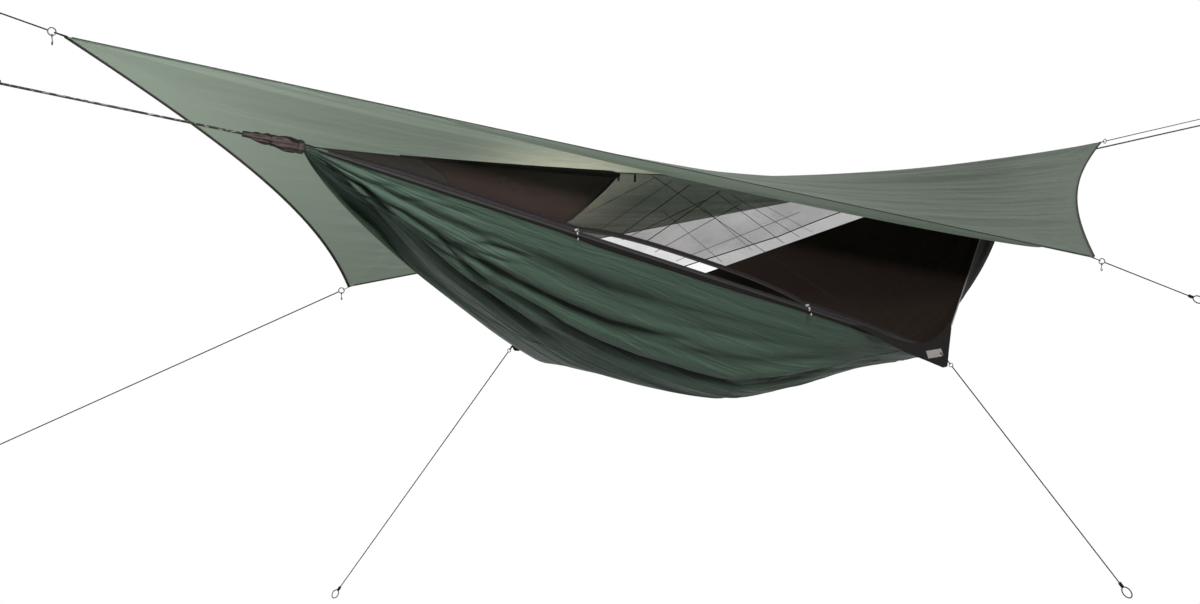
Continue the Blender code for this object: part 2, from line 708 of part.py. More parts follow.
def corner_hardware():
    """Webbing, ring, hook, guyline and tied eye at each corner of the tarp."""
    web = finish("corner_webbing", (0.02, 0.02, 0.02), 0.8)
    steel = finish("corner_ring", (0.55, 0.56, 0.56), 0.35, 1.0)
    coated = finish("hook", (0.03, 0.03, 0.03), 0.45)
    line = finish("guyline", (0.04, 0.04, 0.04), 0.7)
    corners = (
        ("head", TARP_HEAD, HEAD_GUY, (-1, 1, 1), True),
        ("foot", TARP_FOOT, FOOT_GUY, (1, 1, 1), False),
        ("near", TARP_NEAR + DOWN * TARP_HEM, NEAR_GUY, (1, -1, -1), True),
        ("far", TARP_FAR, FAR_GUY, (-1, 1, -1), True),
    )
    for place, corner, run, way, hooked in corners:
        pull = Vector(run) * Vector(way)
        direction = pull.normalized()
        seat = corner + direction * TARP_THICKNESS / 4
        name = f"tarp_webbing_{place}"
        eyelet = webbing(name, seat, direction, WEBBING_LENGTH, WEBBING_BASE, web)
        ring = ring_through(f"tarp_ring_{place}", eyelet, RING_RADIUS, RING_WIRE, steel)
        far_wire = ring.translation + direction * (RING_RADIUS + RING_WIRE / 2 + SEAM_GAP)
        guyline(f"tarp_guyline_{place}", f"tarp_eye_{place}", far_wire, corner + pull, line)
        if hooked:
            low = ring.translation + DOWN * RING_RADIUS
            hang = aimed(low, DOWN, Vector((pull.x, pull.y, 0)))
            s_hook(f"tarp_hook_{place}", hang, RING_WIRE, coated)


def guyline(name, eye_name, start, end, material):
    """A taut line from a ring to its tied eye."""
    direction = (end - start).normalized()
    knot_face = end - direction * (EYE_RADIUS * EYE_STRETCH + knot_length(GUYLINE_DIAMETER))
    tube(name, straight(start, knot_face - direction * SEAM_GAP, 6), GUYLINE_DIAMETER, material)
    eye_loop(eye_name, end, direction, GUYLINE_DIAMETER, material)


def side_tie_outs():
    """Webbing, ring and peg line at each side tie-out of the hammock."""
    web = finish("tie_out_webbing", (0.02, 0.02, 0.02), 0.8)
    steel = finish("tie_out_ring", (0.55, 0.56, 0.56), 0.35, 1.0)
    line = finish("peg_line", (0.04, 0.04, 0.04), 0.7)
    for place, tie, run, way in (
        ("near", NEAR_TIE, NEAR_PEG_LINE, (1, -1, -1)),
        ("far", FAR_TIE, FAR_PEG_LINE, (-1, 1, -1)),
    ):
        pull = Vector(run) * Vector(way)
        direction = pull.normalized()
        seat = tie + direction * PIPING_DIAMETER / 2
        name = f"tie_out_webbing_{place}"
        eyelet = webbing(name, seat, direction, TIE_OUT_WEBBING_LENGTH, TIE_OUT_WEBBING_BASE, web)
        ring = ring_through(f"tie_out_ring_{place}", eyelet, SMALL_RING_RADIUS, SMALL_RING_WIRE, steel)
        start = ring.translation + direction * (SMALL_RING_RADIUS + SMALL_RING_WIRE / 2 + SEAM_GAP)
        guyline(f"peg_line_{place}", f"peg_eye_{place}", start, tie + pull, line)


def rain_tarp():
    """The slanted tarp over the ridge, with bound short edges."""
    sage = finish("tarp_fabric", (0.19, 0.28, 0.21), 0.6)
    bind = finish("tarp_binding", (0.03, 0.03, 0.03), 0.8)
    sheet("tarp_canopy", tarp_cloth, 30, TARP_ROWS, TARP_THICKNESS, sage)
    reach = BINDING_DIAMETER / 2 + SEAM_GAP + TARP_THICKNESS / 4
    step = EDGE_STEP_SHARE
    for name, u, inward in (("tarp_binding_head", 0, step), ("tarp_binding_foot", 1, -step)):
        points = []
        for i in range(TARP_ROWS):
            v = i / (TARP_ROWS - 1)
            edge = tarp_lay(u, v)
            along = (tarp_lay(u, min(v + step, 1)) - tarp_lay(u, max(v - step, 0))).normalized()
            out = edge - tarp_lay(u + inward, v)
            out = (out - along * out.dot(along)).normalized()
            points.append(edge + out * reach)
        points[0] = points[0].lerp(points[1], 0.5)
        points[-1] = points[-1].lerp(points[-2], 0.5)
        tube(name, points, BINDING_DIAMETER, bind)


def tarp_ridge_height(x):
    """The ridge line of the tarp, lowest where it rests on the ridge cord."""
    low_x = MIDDLE.x + TARP_RIDGE_LOW_SHIFT
    cord_top = ridge_cord_at((low_x - GATHER_HEAD.x) / RIDGE_LENGTH).z + RIDGE_CORD_DIAMETER / 2
    low = cord_top + TARP_THICKNESS / 2 + TARP_REST
    end = TARP_HEAD if x < low_x else TARP_FOOT
    share = (x - low_x) / (end.x - low_x)
    return low + (end.z - low) * share**TARP_SAG_POWER


def tarp_lay(u, v):
    """The tarp's surface; u runs along the near hem, v from the near to the far hem."""
    cut = TARP_SHORT_EDGE_CUT / TARP_LONG_SIDE * 4 * v * (1 - v)
    u = cut + u * (1 - 2 * cut)
    near_hem = TARP_HEAD.lerp(TARP_NEAR, u)
    far_hem = TARP_FAR.lerp(TARP_FOOT, u)
    r = min(max((u + v) / 2, 0), 1)
    ridge = TARP_HEAD * (1 - r) ** 2 + (TARP_NEAR + TARP_FAR) * r * (1 - r) + TARP_FOOT * r * r
    lift = tarp_ridge_height(ridge.x) - ridge.z
    widest = 2 * min(r, 1 - r)
    fade = max(0, 1 - abs(u - v) / widest) if widest else 0
    return near_hem.lerp(far_hem, v) + UP * lift * fade**TARP_CREASE_POWER


def tarp_cloth(u, q):
    """The lay with its long wrinkles, and the slack flap below the near hem."""
    v = max(0, (q * TARP_ROWS - 1) / (TARP_ROWS - 1))
    if q < 0.5 / TARP_ROWS:
        low, high = TARP_FLAP_SHARES
        share = min(max((u - low) / (high - low), 0), 1)
        return tarp_lay(u, 0) + DOWN * (TARP_HEM + TARP_FLAP * math.sin(math.pi * share))
    swell = math.sin(math.pi * u) * math.sin(math.pi * v)
    ripple = swell * math.sin(math.tau * TARP_WRINKLES * (u - v))
    return tarp_lay(u, v) + UP * TARP_WRINKLE * ripple


def build():
    """Clear the file and model every piece."""
    for old in list(bpy.data.objects):
        bpy.data.objects.remove(old)
    for group in (PART, TOOLS):
        bpy.context.scene.collection.children.link(group)
    hammock()
    sleeves_and_ropes()
    insect_net()
    ridge_loops()
    zip_and_sliders()
    rain_tarp()
    corner_hardware()
    side_tie_outs()


build()
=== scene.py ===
import math

import bpy
import numpy as np
from mathutils import Matrix, Vector


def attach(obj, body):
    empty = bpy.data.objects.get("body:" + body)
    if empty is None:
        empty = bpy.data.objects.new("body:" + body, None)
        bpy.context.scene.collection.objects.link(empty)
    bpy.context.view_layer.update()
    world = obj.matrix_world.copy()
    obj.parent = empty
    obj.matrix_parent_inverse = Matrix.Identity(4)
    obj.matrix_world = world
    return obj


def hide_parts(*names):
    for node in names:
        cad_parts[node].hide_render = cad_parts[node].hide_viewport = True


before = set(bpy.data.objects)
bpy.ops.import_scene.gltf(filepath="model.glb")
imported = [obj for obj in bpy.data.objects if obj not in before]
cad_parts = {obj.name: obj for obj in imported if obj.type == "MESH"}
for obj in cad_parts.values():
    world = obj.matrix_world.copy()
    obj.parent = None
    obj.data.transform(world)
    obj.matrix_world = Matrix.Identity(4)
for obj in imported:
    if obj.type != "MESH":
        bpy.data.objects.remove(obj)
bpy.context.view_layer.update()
scene = bpy.context.scene
scene.view_settings.view_transform = "Standard"


# The viewpoint of the photograph: the camera stands a little below the ridge,
# on the near side of the head end, and looks across the hammock to its foot.
CAMERA_PLACE = Vector((-0.4276, -3.1293, -0.3188))
CAMERA_YAW = math.radians(34.134)
CAMERA_PITCH = math.radians(-3.741)
LENS_MM = 37.33
SENSOR_MM = 36.0
PHOTO_WIDTH_PX = 1200
PHOTO_HEIGHT_PX = 604
FOCAL_PX = LENS_MM / SENSOR_MM * PHOTO_WIDTH_PX
LEVEL_SHARE = math.cos(CAMERA_PITCH)
LOOK = Vector(
    (math.sin(CAMERA_YAW) * LEVEL_SHARE, math.cos(CAMERA_YAW) * LEVEL_SHARE, math.sin(CAMERA_PITCH))
)
RIGHTWARD = Vector((math.cos(CAMERA_YAW), -math.sin(CAMERA_YAW), 0))
UPWARD = RIGHTWARD.cross(LOOK)

camera_data = bpy.data.cameras.new("viewpoint")
camera_data.lens = LENS_MM
camera_data.sensor_width = SENSOR_MM
camera = bpy.data.objects.new("viewpoint", camera_data)
camera.location = CAMERA_PLACE
camera.rotation_euler = (math.pi / 2 + CAMERA_PITCH, 0, -CAMERA_YAW)
scene.collection.objects.link(camera)
scene.camera = camera


def pixels_of(places):
    """Where points, an array of x, y and z, show in the photograph, in its pixels."""
    away = np.asarray(places) - np.array(CAMERA_PLACE)
    depth = away @ np.array(LOOK)
    x = PHOTO_WIDTH_PX / 2 + FOCAL_PX * (away @ np.array(RIGHTWARD)) / depth
    y = PHOTO_HEIGHT_PX / 2 - FOCAL_PX * (away @ np.array(UPWARD)) / depth
    return np.stack((x, y), axis=-1)


# The studio: a plain pale floor under the peg lines, a white surround and five
# lamps. Two big ones stand in front and above, two small ones light the tarp's
# head end, and a warm one behind shines through the tarp.
FLOOR_HEIGHT = -1.72
FLOOR_REACH = 40.0
FLOOR_COLOUR = (0.30, 0.30, 0.30, 1)
FLOOR_ROUGHNESS = 0.9
WHITE = (1, 1, 1, 1)
SKY_STRENGTH = 0.16
# Each lamp's name, place, target, size, power, colour and spread in degrees.
LAMPS = (
    ("front_lamp", (-0.2, -4.2, 1.7), (2.1, -0.3, -0.6), 0.9, 330.0, (1.0, 0.99, 0.97), 180),
    ("top_lamp", (0.9, 1.5, 3.0), (1.7, 0.2, -0.2), 1.6, 170.0, (1.0, 0.97, 0.92), 180),
    ("left_lamp", (-1.3, -2.6, 2.3), (0.55, -0.05, -0.05), 0.5, 17.0, (1.0, 1.0, 0.98), 50),
    ("head_lamp", (-0.15, 0.85, 0.95), (0.30, 0.08, 0.02), 0.4, 5.6, (1.0, 1.0, 0.98), 70),
    ("glow_lamp", (1.74, 0.72, 0.42), (1.64, 0.19, -0.20), 0.16, 4.2, (1.0, 0.76, 0.66), 50),
)


def set_inputs(tree, node, inputs):
    """Give a node's inputs their values; a value may be another node's output."""
    for key, value in inputs:
        if isinstance(value, bpy.types.NodeSocket):
            tree.links.new(value, node.inputs[key])
        else:
            node.inputs[key].default_value = value


def add_node(tree, kind, inputs=(), **settings):
    """Add a node, a shader node where its kind doesn't say, with its settings and inputs."""
    made = tree.nodes.new(kind if "Node" in kind else "ShaderNode" + kind)
    for key, value in settings.items():
        setattr(made, key, value)
    set_inputs(tree, made, inputs)
    return made


def calculate(tree, operation, *values):
    """The result of one sum on values or sockets."""
    return add_node(tree, "Math", enumerate(values), operation=operation).outputs[0]


def new_material(name):
    """A new material, its node tree and its shader."""
    made = bpy.data.materials.new(name)
    made.use_nodes = True
    return made, made.node_tree, made.node_tree.nodes["Principled BSDF"]


def seen_as_white(tree, lit, white, output):
    """Show white to the camera, metal and glass, and the lit shader to all other rays."""
    path = add_node(tree, "LightPath").outputs
    seen = calculate(tree, "MAXIMUM", path["Is Camera Ray"], path["Is Glossy Ray"])
    seen = calculate(tree, "MAXIMUM", seen, path["Is Transmission Ray"])
    mix = add_node(tree, "MixShader", ((0, seen), (1, lit.outputs[0]), (2, white.outputs[0])))
    tree.links.new(mix.outputs[0], tree.nodes[output].inputs["Surface"])


scene.world = bpy.data.worlds.new("studio")
scene.world.use_nodes = True
sky = scene.world.node_tree
sky_light = sky.nodes["Background"]
set_inputs(sky, sky_light, (("Color", WHITE), ("Strength", SKY_STRENGTH)))
seen_as_white(sky, sky_light, add_node(sky, "Background", (("Color", WHITE),)), "World Output")

floor_mesh = bpy.data.meshes.new("studio_floor")
floor_signs = ((-1, -1), (1, -1), (1, 1), (-1, 1))
floor_corners = [(x * FLOOR_REACH, y * FLOOR_REACH, FLOOR_HEIGHT) for x, y in floor_signs]
floor_mesh.from_pydata(floor_corners, [], [(0, 1, 2, 3)])
floor_look, paint, paint_shader = new_material("pale_floor")
set_inputs(paint, paint_shader, (("Base Color", FLOOR_COLOUR), ("Roughness", FLOOR_ROUGHNESS)))
seen_as_white(paint, paint_shader, add_node(paint, "Emission"), "Material Output")
floor_mesh.materials.append(floor_look)
floor = bpy.data.objects.new("studio_floor", floor_mesh)
scene.collection.objects.link(floor)

for lamp_name, place, target, size, power, tint, spread in LAMPS:
    lamp_data = bpy.data.lights.new(lamp_name, "AREA")
    lamp_data.size = size
    lamp_data.energy = power
    lamp_data.color = tint
    lamp_data.spread = math.radians(spread)
    lamp = bpy.data.objects.new(lamp_name, lamp_data)
    lamp.location = place
    lamp.rotation_euler = (Vector(target) - Vector(place)).to_track_quat("-Z", "Y").to_euler()
    scene.collection.objects.link(lamp)


# The cords: a braided rope at each end of the hammock, a thin guyline at each
# corner of the tarp and a peg line at each side tie-out, all drawn taut and
# ending just outside the view in a tied eye.
HEAD_GATHER = Vector((0.76, 0, -0.125))
FOOT_GATHER = Vector((3.56, 0, -0.125))
HEAD_ROPE_EYE = Vector()
FOOT_ROPE_EYE = FOOT_GATHER + Vector((1.490, 0, 0.250))
ROPE_DIAMETER = 0.006
LINE_DIAMETER = 0.0036
SLEEVE_LENGTH = 0.160
CORD_SIDES = 12
CORD_STEP = 0.012
CORD_CLEARANCE = 0.0003
CORD_END_REACH = 0.4
CORD_END_WIDTH = 0.55
EYE_RADIUS = 0.012
EYE_STRETCH = 1.5
EYE_WIDTH_SHARE = 0.92
EYE_POINTS = 32
KNOT_TURNS = 5
KNOT_SIDES = 8
COIL_STEPS = 12
COIL_REACH = 0.95
WELD_REACH = 0.00001
ROPE_COLOURS = ((0.022, 0.021, 0.020), (0.42, 0.40, 0.36))
LINE_COLOURS = ((0.005, 0.005, 0.005), (0.05, 0.05, 0.045))


def mesh_object(name, corners, faces, uvs):
    """A smooth object from its corners and faces, with a UV place for each face's corners."""
    mesh = bpy.data.meshes.new(name)
    mesh.from_pydata(corners, [], faces)
    layer = mesh.uv_layers.new(name="cloth")
    for entry, uv in zip(layer.data, uvs):
        entry.uv = uv
    mesh.shade_smooth()
    made = bpy.data.objects.new(name, mesh)
    scene.collection.objects.link(made)
    return made


def grid_parts(places, across_size, along_size, closed=False):
    """The corners, faces and UV places, in metres of cloth, of a sheet through points.

    places is an array of rows, columns and x, y, z. The last column joins the
    first where closed, as round a cord.
    """
    rows, columns = places.shape[:2]
    last = columns if closed else columns - 1
    faces = []
    uvs = []
    for row in range(rows - 1):
        low = row * columns
        high = low + columns
        for column in range(last):
            after = (column + 1) % columns
            faces.append((low + column, low + after, high + after, high + column))
            for along, across in ((row, column), (row, column + 1), (row + 1, column + 1), (row + 1, column)):
                uvs.append((along / (rows - 1) * along_size, across / last * across_size))
    return places.reshape(-1, 3).tolist(), faces, uvs


def grid_mesh(name, places, across_size, along_size, closed=False):
    """A sheet through rows of points, as grid_parts lays it out."""
    return mesh_object(name, *grid_parts(places, across_size, along_size, closed))


def weld(piece):
    """Join the points of a piece that lie in one place."""
    piece.modifiers.new("weld", "WELD").merge_threshold = WELD_REACH


def cord_mesh(name, path, radius, sides=CORD_SIDES, closed=False):
    """A round cord along a path of points, its ends rounded off where it is open."""
    points = [Vector(point) for point in path]
    thick = [radius] * len(points)
    if not closed:
        points.insert(0, points[0] + (points[0] - points[1]).normalized() * radius * CORD_END_REACH)
        points.append(points[-1] + (points[-1] - points[-2]).normalized() * radius * CORD_END_REACH)
        thick = [radius * CORD_END_WIDTH] + thick + [radius * CORD_END_WIDTH]
    count = len(points)
    turns = [math.tau * k / sides for k in range(sides)]
    side = None
    rows = []
    length = 0.0
    for i, point in enumerate(points):
        before = points[(i - 1) % count] if closed or i else point
        after = points[(i + 1) % count] if closed or i < count - 1 else point
        forward = (after - before).normalized()
        if side is None:
            reference = Vector((0, 0, 1)) if abs(forward.z) < 0.9 else Vector((1, 0, 0))
            side = reference.cross(forward).normalized()
        side = (side - forward * side.dot(forward)).normalized()
        other = forward.cross(side)
        rows.append([point + (side * math.cos(a) + other * math.sin(a)) * thick[i] for a in turns])
        if i:
            length += (point - points[i - 1]).length
    if closed:
        rows.append(rows[0])
    places = np.array([[list(corner) for corner in row] for row in rows])
    corners, faces, uvs = grid_parts(places, math.tau * radius, max(length, radius), closed=True)
    if not closed:
        faces += [tuple(range(sides))[::-1], tuple(range((count - 1) * sides, count * sides))]
    made = mesh_object(name, corners, faces, uvs)
    if closed:
        weld(made)
    return made


def joined(name, pieces):
    """Several objects as one, under one name, with their modifiers applied."""
    bpy.context.view_layer.update()
    graph = bpy.context.evaluated_depsgraph_get()
    corners = []
    faces = []
    uvs = []
    for piece in pieces:
        shape = bpy.data.meshes.new_from_object(piece.evaluated_get(graph))
        start = len(corners)
        corners += [tuple(corner.co) for corner in shape.vertices]
        faces += [tuple(start + i for i in polygon.vertices) for polygon in shape.polygons]
        layer = shape.uv_layers.get("cloth")
        uvs += [tuple(entry.uv) for entry in layer.data] if layer else [(0, 0)] * len(shape.loops)
        bpy.data.meshes.remove(shape)
    for piece in pieces:
        old = piece.data
        bpy.data.objects.remove(piece)
        bpy.data.meshes.remove(old)
    return mesh_object(name, corners, faces, uvs)


def cloth_map(tree):
    """The place on the cloth in metres, and its two directions on their own."""
    place = add_node(tree, "UVMap", uv_map="cloth").outputs[0]
    split = add_node(tree, "SeparateXYZ", ((0, place),)).outputs
    return place, (split[0], split[1])


def wave(tree, value, rate):
    """Humps from 0 to 1, one for every half turn of the value times the rate."""
    turn = calculate(tree, "MULTIPLY", value, rate)
    return calculate(tree, "ABSOLUTE", calculate(tree, "SINE", turn))


def colour_between(tree, amount, low, high):
    """A colour that runs from low to high as the amount goes from 0 to 1."""
    inputs = (("Factor", amount), (6, low), (7, high))
    return add_node(tree, "Mix", inputs, data_type="RGBA").outputs[2]


def braid(name, dark, pale, diameter, fleck_share):
    """Braided cord: strands that cross on the slant, some of them pale."""
    made, tree, shader = new_material(name)
    place, (length_place, round_place) = cloth_map(tree)
    along = calculate(tree, "MULTIPLY", length_place, 2.2 / diameter)
    around = calculate(tree, "MULTIPLY", round_place, 4 / (math.pi * diameter))
    slants = [calculate(tree, operation, along, around) for operation in ("ADD", "SUBTRACT")]
    height = calculate(tree, "MULTIPLY", *(wave(tree, slant, math.pi) for slant in slants))
    cells = add_node(tree, "TexVoronoi", (("Vector", place), ("Scale", 0.8 / diameter)), feature="F1")
    grain = add_node(tree, "SeparateColor", ((0, cells.outputs["Color"]),)).outputs[0]
    fleck = calculate(tree, "LESS_THAN", grain, fleck_share)
    shade = calculate(tree, "MULTIPLY", fleck, height)
    bump = add_node(tree, "Bump", (("Height", height), ("Distance", diameter * 0.12)))
    look = (
        ("Base Color", colour_between(tree, shade, (*dark, 1), (*pale, 1))),
        ("Normal", bump.outputs[0]),
        ("Roughness", 0.75),
        ("Specular IOR Level", 0.1),
    )
    set_inputs(tree, shader, look)
    return made


def line_points(start, end, step=CORD_STEP):
    """Points along a straight, taut stretch."""
    count = max(2, int((end - start).length / step))
    return [start.lerp(end, i / (count - 1)) for i in range(count)]


def upright(direction):
    """The direction that is square to the given one and as near to straight up as can be."""
    return (Vector((0, 0, 1)) - direction * direction.z).normalized()


def eye_knot(name, centre, direction, diameter):
    """The tied eye at a cord's end: the loop, and the turns wound round its neck."""
    side = upright(direction)
    neck = centre - direction * EYE_RADIUS * EYE_STRETCH
    loop = []
    for i in range(EYE_POINTS + 1):
        turn = math.tau * i / EYE_POINTS
        reach = EYE_RADIUS * EYE_STRETCH * (1 - math.cos(turn))
        loop.append(neck + direction * reach + side * EYE_RADIUS * math.sin(turn) * EYE_WIDTH_SHARE)
    start = neck - direction * diameter * KNOT_TURNS
    path = line_points(start, neck, diameter / 2)[:-1] + loop[:-1]
    path += line_points(neck, start, diameter / 2)
    strand = cord_mesh(name + "_strand", path, diameter / 2, KNOT_SIDES)
    other = direction.cross(side)
    coil = []
    for i in range(KNOT_TURNS * COIL_STEPS + 1):
        turn = math.tau * i / COIL_STEPS
        along = start + direction * diameter * (0.5 + (KNOT_TURNS - 1) * i / (KNOT_TURNS * COIL_STEPS))
        ring = side * math.cos(turn) + other * math.sin(turn)
        coil.append(along + ring * diameter * COIL_REACH)
    turns = cord_mesh(name + "_turns", coil, diameter / 2, KNOT_SIDES)
    return joined(name, [strand, turns])


def dress(piece, node, look=None, body="tent"):
    """Give a piece its finish and its body, and hide the CAD node that it stands for."""
    if look:
        piece.data.materials.append(look)
    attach(piece, body)
    if node:
        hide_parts(node)
    return piece


rope_look = braid("braided_rope", *ROPE_COLOURS, ROPE_DIAMETER, 0.20)
line_look = braid("braided_line", *LINE_COLOURS, LINE_DIAMETER, 0.05)


def taut_cord(name, eye_name, start, eye, diameter, look):
    """A straight cord from its start to the knot of its tied eye, and that eye."""
    direction = (eye - start).normalized()
    stop = eye - direction * (EYE_RADIUS * EYE_STRETCH + diameter * KNOT_TURNS)
    path = line_points(start, stop)
    line = dress(cord_mesh(name + "_drawn", path, diameter / 2), name, look)
    knot = dress(eye_knot(eye_name + "_tied", eye, direction, diameter), eye_name, look)


for end, gather, eye in (("head", HEAD_GATHER, HEAD_ROPE_EYE), ("foot", FOOT_GATHER, FOOT_ROPE_EYE)):
    start = gather + (eye - gather).normalized() * (SLEEVE_LENGTH + CORD_CLEARANCE)
    rope = f"suspension_rope_{end}"
    taut_cord(rope, f"rope_eye_{end}", start, eye, ROPE_DIAMETER, rope_look)


# The gathers: each end of the hammock is bunched up and wrapped in a short
# sleeve of thin dark cloth, wrinkled round the bunch and tapering to the rope.
SLEEVE_RADIUS = 0.0195
# Places along the sleeve, and the share of its radius that it has at each.
SLEEVE_PROFILE = ((0, 0.06, 0.18, 0.36, 0.55, 0.78, 1), (0.86, 1.0, 0.98, 0.86, 0.72, 0.5, 0.30))
SLEEVE_WRINKLE = 0.0030
SLEEVE_FOLDS = 9
SLEEVE_GRAIN = 0.0012
SLEEVE_RINGS = 84
SLEEVE_SIDES = 54
# The turn from straight up at which the sleeve's darker upper side is centred.
SLEEVE_DARK_TURN = 0.35
# Where the sleeve is drawn in, each by its place along it and its width.
SLEEVE_CUFFS = ((0.10, 0.035), (0.55, 0.025))
SLEEVE_CUFF_DEPTH = 0.0022
SLEEVE_COLOUR = (0.030, 0.023, 0.022)
GATHER_DEPTH = 0.015
CLOTH_SPECULAR = 0.08
CRUMPLE_SCALES = (5.0, 26.0, 1.0)


def hump(value, middle, width):
    """A smooth hump: 1 at the middle, fading away over about the width."""
    return np.exp(-(((value - middle) / width) ** 2))


def soft_noise(places, size, seed):
    """A smooth random value from about -1 to 1 at each point, for wrinkles."""
    steps = np.random.default_rng(seed)
    total = np.zeros(places.shape[:-1])
    for octave in range(5):
        turns = steps.normal(size=(3, 3)) * (0.8 + octave * 0.55) / size
        shifts = steps.uniform(0, math.tau, 3)
        waves = np.sin(places @ turns + shifts)
        total += waves.prod(axis=-1) * 1.6 / (1 + octave * 0.6)
    return total / 2


def shade_points(piece, attribute, values):
    """Store a value at each point of a piece for its material to read."""
    stored = piece.data.attributes.new(attribute, "FLOAT", "POINT")
    stored.data.foreach_set("value", values.ravel())


def woven(
    name, colour, thread, roughness, shade, patches, see_through=0.0, rips=0.0, painted_fold_shade=0.0, crumple=0.0
):
    """Woven cloth: crossing threads a given distance apart, and a faint, patchy change of shade.

    see_through is the share of light that comes through, rips the spacing of a
    ripstop grid, folded how much painted shade darkens the colour where the
    fold_shade values say, and crumple how deep the fine wrinkles are.
    """
    made, tree, shader = new_material(name)
    place, directions = cloth_map(tree)
    weave = calculate(tree, "MULTIPLY", *(wave(tree, way, math.pi / thread) for way in directions))
    cloud = add_node(tree, "TexNoise", (("Vector", place), ("Scale", patches), ("Detail", 4.0)))
    mottle = calculate(tree, "MULTIPLY_ADD", cloud.outputs[0], 0.6, 0.2)
    amount = calculate(tree, "ADD", mottle, calculate(tree, "MULTIPLY", weave, 0.25))
    height = weave
    if rips:
        waves = [wave(tree, way, math.pi / rips) for way in directions]
        lines = [calculate(tree, "LESS_THAN", one, 0.16) for one in waves]
        grid = calculate(tree, "MAXIMUM", *lines)
        amount = calculate(tree, "SUBTRACT", amount, calculate(tree, "MULTIPLY", grid, 0.14))
        height = calculate(tree, "ADD", weave, calculate(tree, "MULTIPLY", grid, 0.8))
    dark, pale, deep = ([channel * share for channel in colour] + [1] for share in (shade, 2 - shade, 0.08))
    tint = colour_between(tree, amount, dark, pale)
    # Painted shade: where the fold_shade values are high, the colour darkens towards the deep tone, 8 % of
    # its own.
    if painted_fold_shade:
        fold = add_node(tree, "Attribute", attribute_name="fold_shade").outputs["Fac"]
        tint = colour_between(tree, calculate(tree, "MULTIPLY", fold, painted_fold_shade), tint, deep)
    bump = add_node(tree, "Bump", (("Height", height), ("Distance", thread * 0.25), ("Strength", 0.5)))
    if crumple:
        drawn = add_node(tree, "VectorMath", ((0, place), (1, CRUMPLE_SCALES)), operation="MULTIPLY")
        creased = (("Vector", drawn.outputs[0]), ("Scale", 1.0), ("Detail", 7.0), ("Distortion", 1.2))
        wrinkle = add_node(tree, "TexNoise", creased).outputs[0]
        rough = (("Height", wrinkle), ("Distance", crumple), ("Strength", 1.0))
        set_inputs(tree, bump, (("Normal", add_node(tree, "Bump", rough).outputs[0]),))
    look = (
        ("Base Color", tint),
        ("Normal", bump.outputs[0]),
        ("Roughness", roughness),
        ("Specular IOR Level", CLOTH_SPECULAR),
    )
    set_inputs(tree, shader, look)
    if see_through:
        glow = add_node(tree, "BsdfTranslucent", (("Color", tint),)).outputs[0]
        mix = add_node(tree, "MixShader", ((0, see_through), (1, shader.outputs[0]), (2, glow)))
        tree.links.new(mix.outputs[0], tree.nodes["Material Output"].inputs["Surface"])
    return made


sleeve_look = woven("sleeve_cloth", SLEEVE_COLOUR, 0.0009, 0.7, 0.05, 70.0, painted_fold_shade=0.9)
for end, gather, eye, way in (
    ("head", HEAD_GATHER, HEAD_ROPE_EYE, -1),
    ("foot", FOOT_GATHER, FOOT_ROPE_EYE, 1),
):
    direction = (eye - gather).normalized()
    first = np.array(gather + Vector((way * CORD_CLEARANCE, 0, -GATHER_DEPTH / 3)))
    last = np.array(gather + direction * SLEEVE_LENGTH)
    up = upright(direction)
    side = direction.cross(up)
    share = np.linspace(0, 1, SLEEVE_RINGS)[:, None]
    turn = np.linspace(0, math.tau, SLEEVE_SIDES, endpoint=False)[None, :]
    folds = np.sin(turn * SLEEVE_FOLDS + 7 * share) * 0.5
    folds = folds + 0.7 * np.sin(turn * 4 - 16 * share + 2 * np.sin(turn))
    cuffs = sum(hump(share, *cuff) for cuff in SLEEVE_CUFFS)
    radius = SLEEVE_RADIUS * np.interp(share, *SLEEVE_PROFILE) + 0 * turn
    radius = radius + SLEEVE_WRINKLE * folds * (0.35 + 0.65 * np.sin(math.pi * share))
    radius = radius - SLEEVE_CUFF_DEPTH * cuffs
    ring = np.cos(turn)[..., None] * np.array(up) + np.sin(turn)[..., None] * np.array(side)
    places = first + share[..., None] * (last - first) + ring * radius[..., None]
    places += ring * SLEEVE_GRAIN * soft_noise(places, 0.02, 3)[..., None]
    places = np.concatenate((places[:1] * 0 + first, places, places[-1:] * 0 + last))
    name = f"gather_sleeve_{end}"
    sleeve = grid_mesh(name + "_wrap", places, math.tau * SLEEVE_RADIUS, SLEEVE_LENGTH, closed=True)
    weld(sleeve)
    # The sleeve is made much darker over its upper side, with a ragged edge, through its fold_shade values.
    ring_turn = np.concatenate((turn + 0 * share, turn, turn))
    upper_dark_edge = 0.15 + 0.45 * soft_noise(places, 0.03, 6)
    upper_dark = np.clip((np.cos(ring_turn - SLEEVE_DARK_TURN) - upper_dark_edge) / 0.25, 0, 1)
    shade_points(sleeve, "fold_shade", upper_dark)
    dress(sleeve, name, sleeve_look)


# The hammock's body: one long piece of ripstop nylon, gathered to a point at
# both ends, with a foot box that lets the sleeper lie on the slant. It hangs
# in long folds that run out from the gathers and is sewn into its rim.
NEAR_TIE = Vector((2.60, -0.55, -0.729))
FAR_TIE = Vector((1.72, 0.55, -0.729))
RIDGE_LENGTH = FOOT_GATHER.x - HEAD_GATHER.x
NEAR_TIE_SHARE = (NEAR_TIE.x - HEAD_GATHER.x) / RIDGE_LENGTH
FAR_TIE_SHARE = (FAR_TIE.x - HEAD_GATHER.x) / RIDGE_LENGTH
BODY_HANG = 0.775
BODY_HANG_POWER = 1.45
GATHER_HALF_WIDTH = 0.015
SHORT_EDGE_SLACK = 0.085
SHORT_EDGE_SLACK_DROP = 0.047
SLACK_POWERS = (0.7, 1.3)
BODY_CLOTH_THICKNESS = 0.0012
BODY_FLAT = (1.42, 3.02)
BODY_COLOUR = (0.043, 0.069, 0.052)
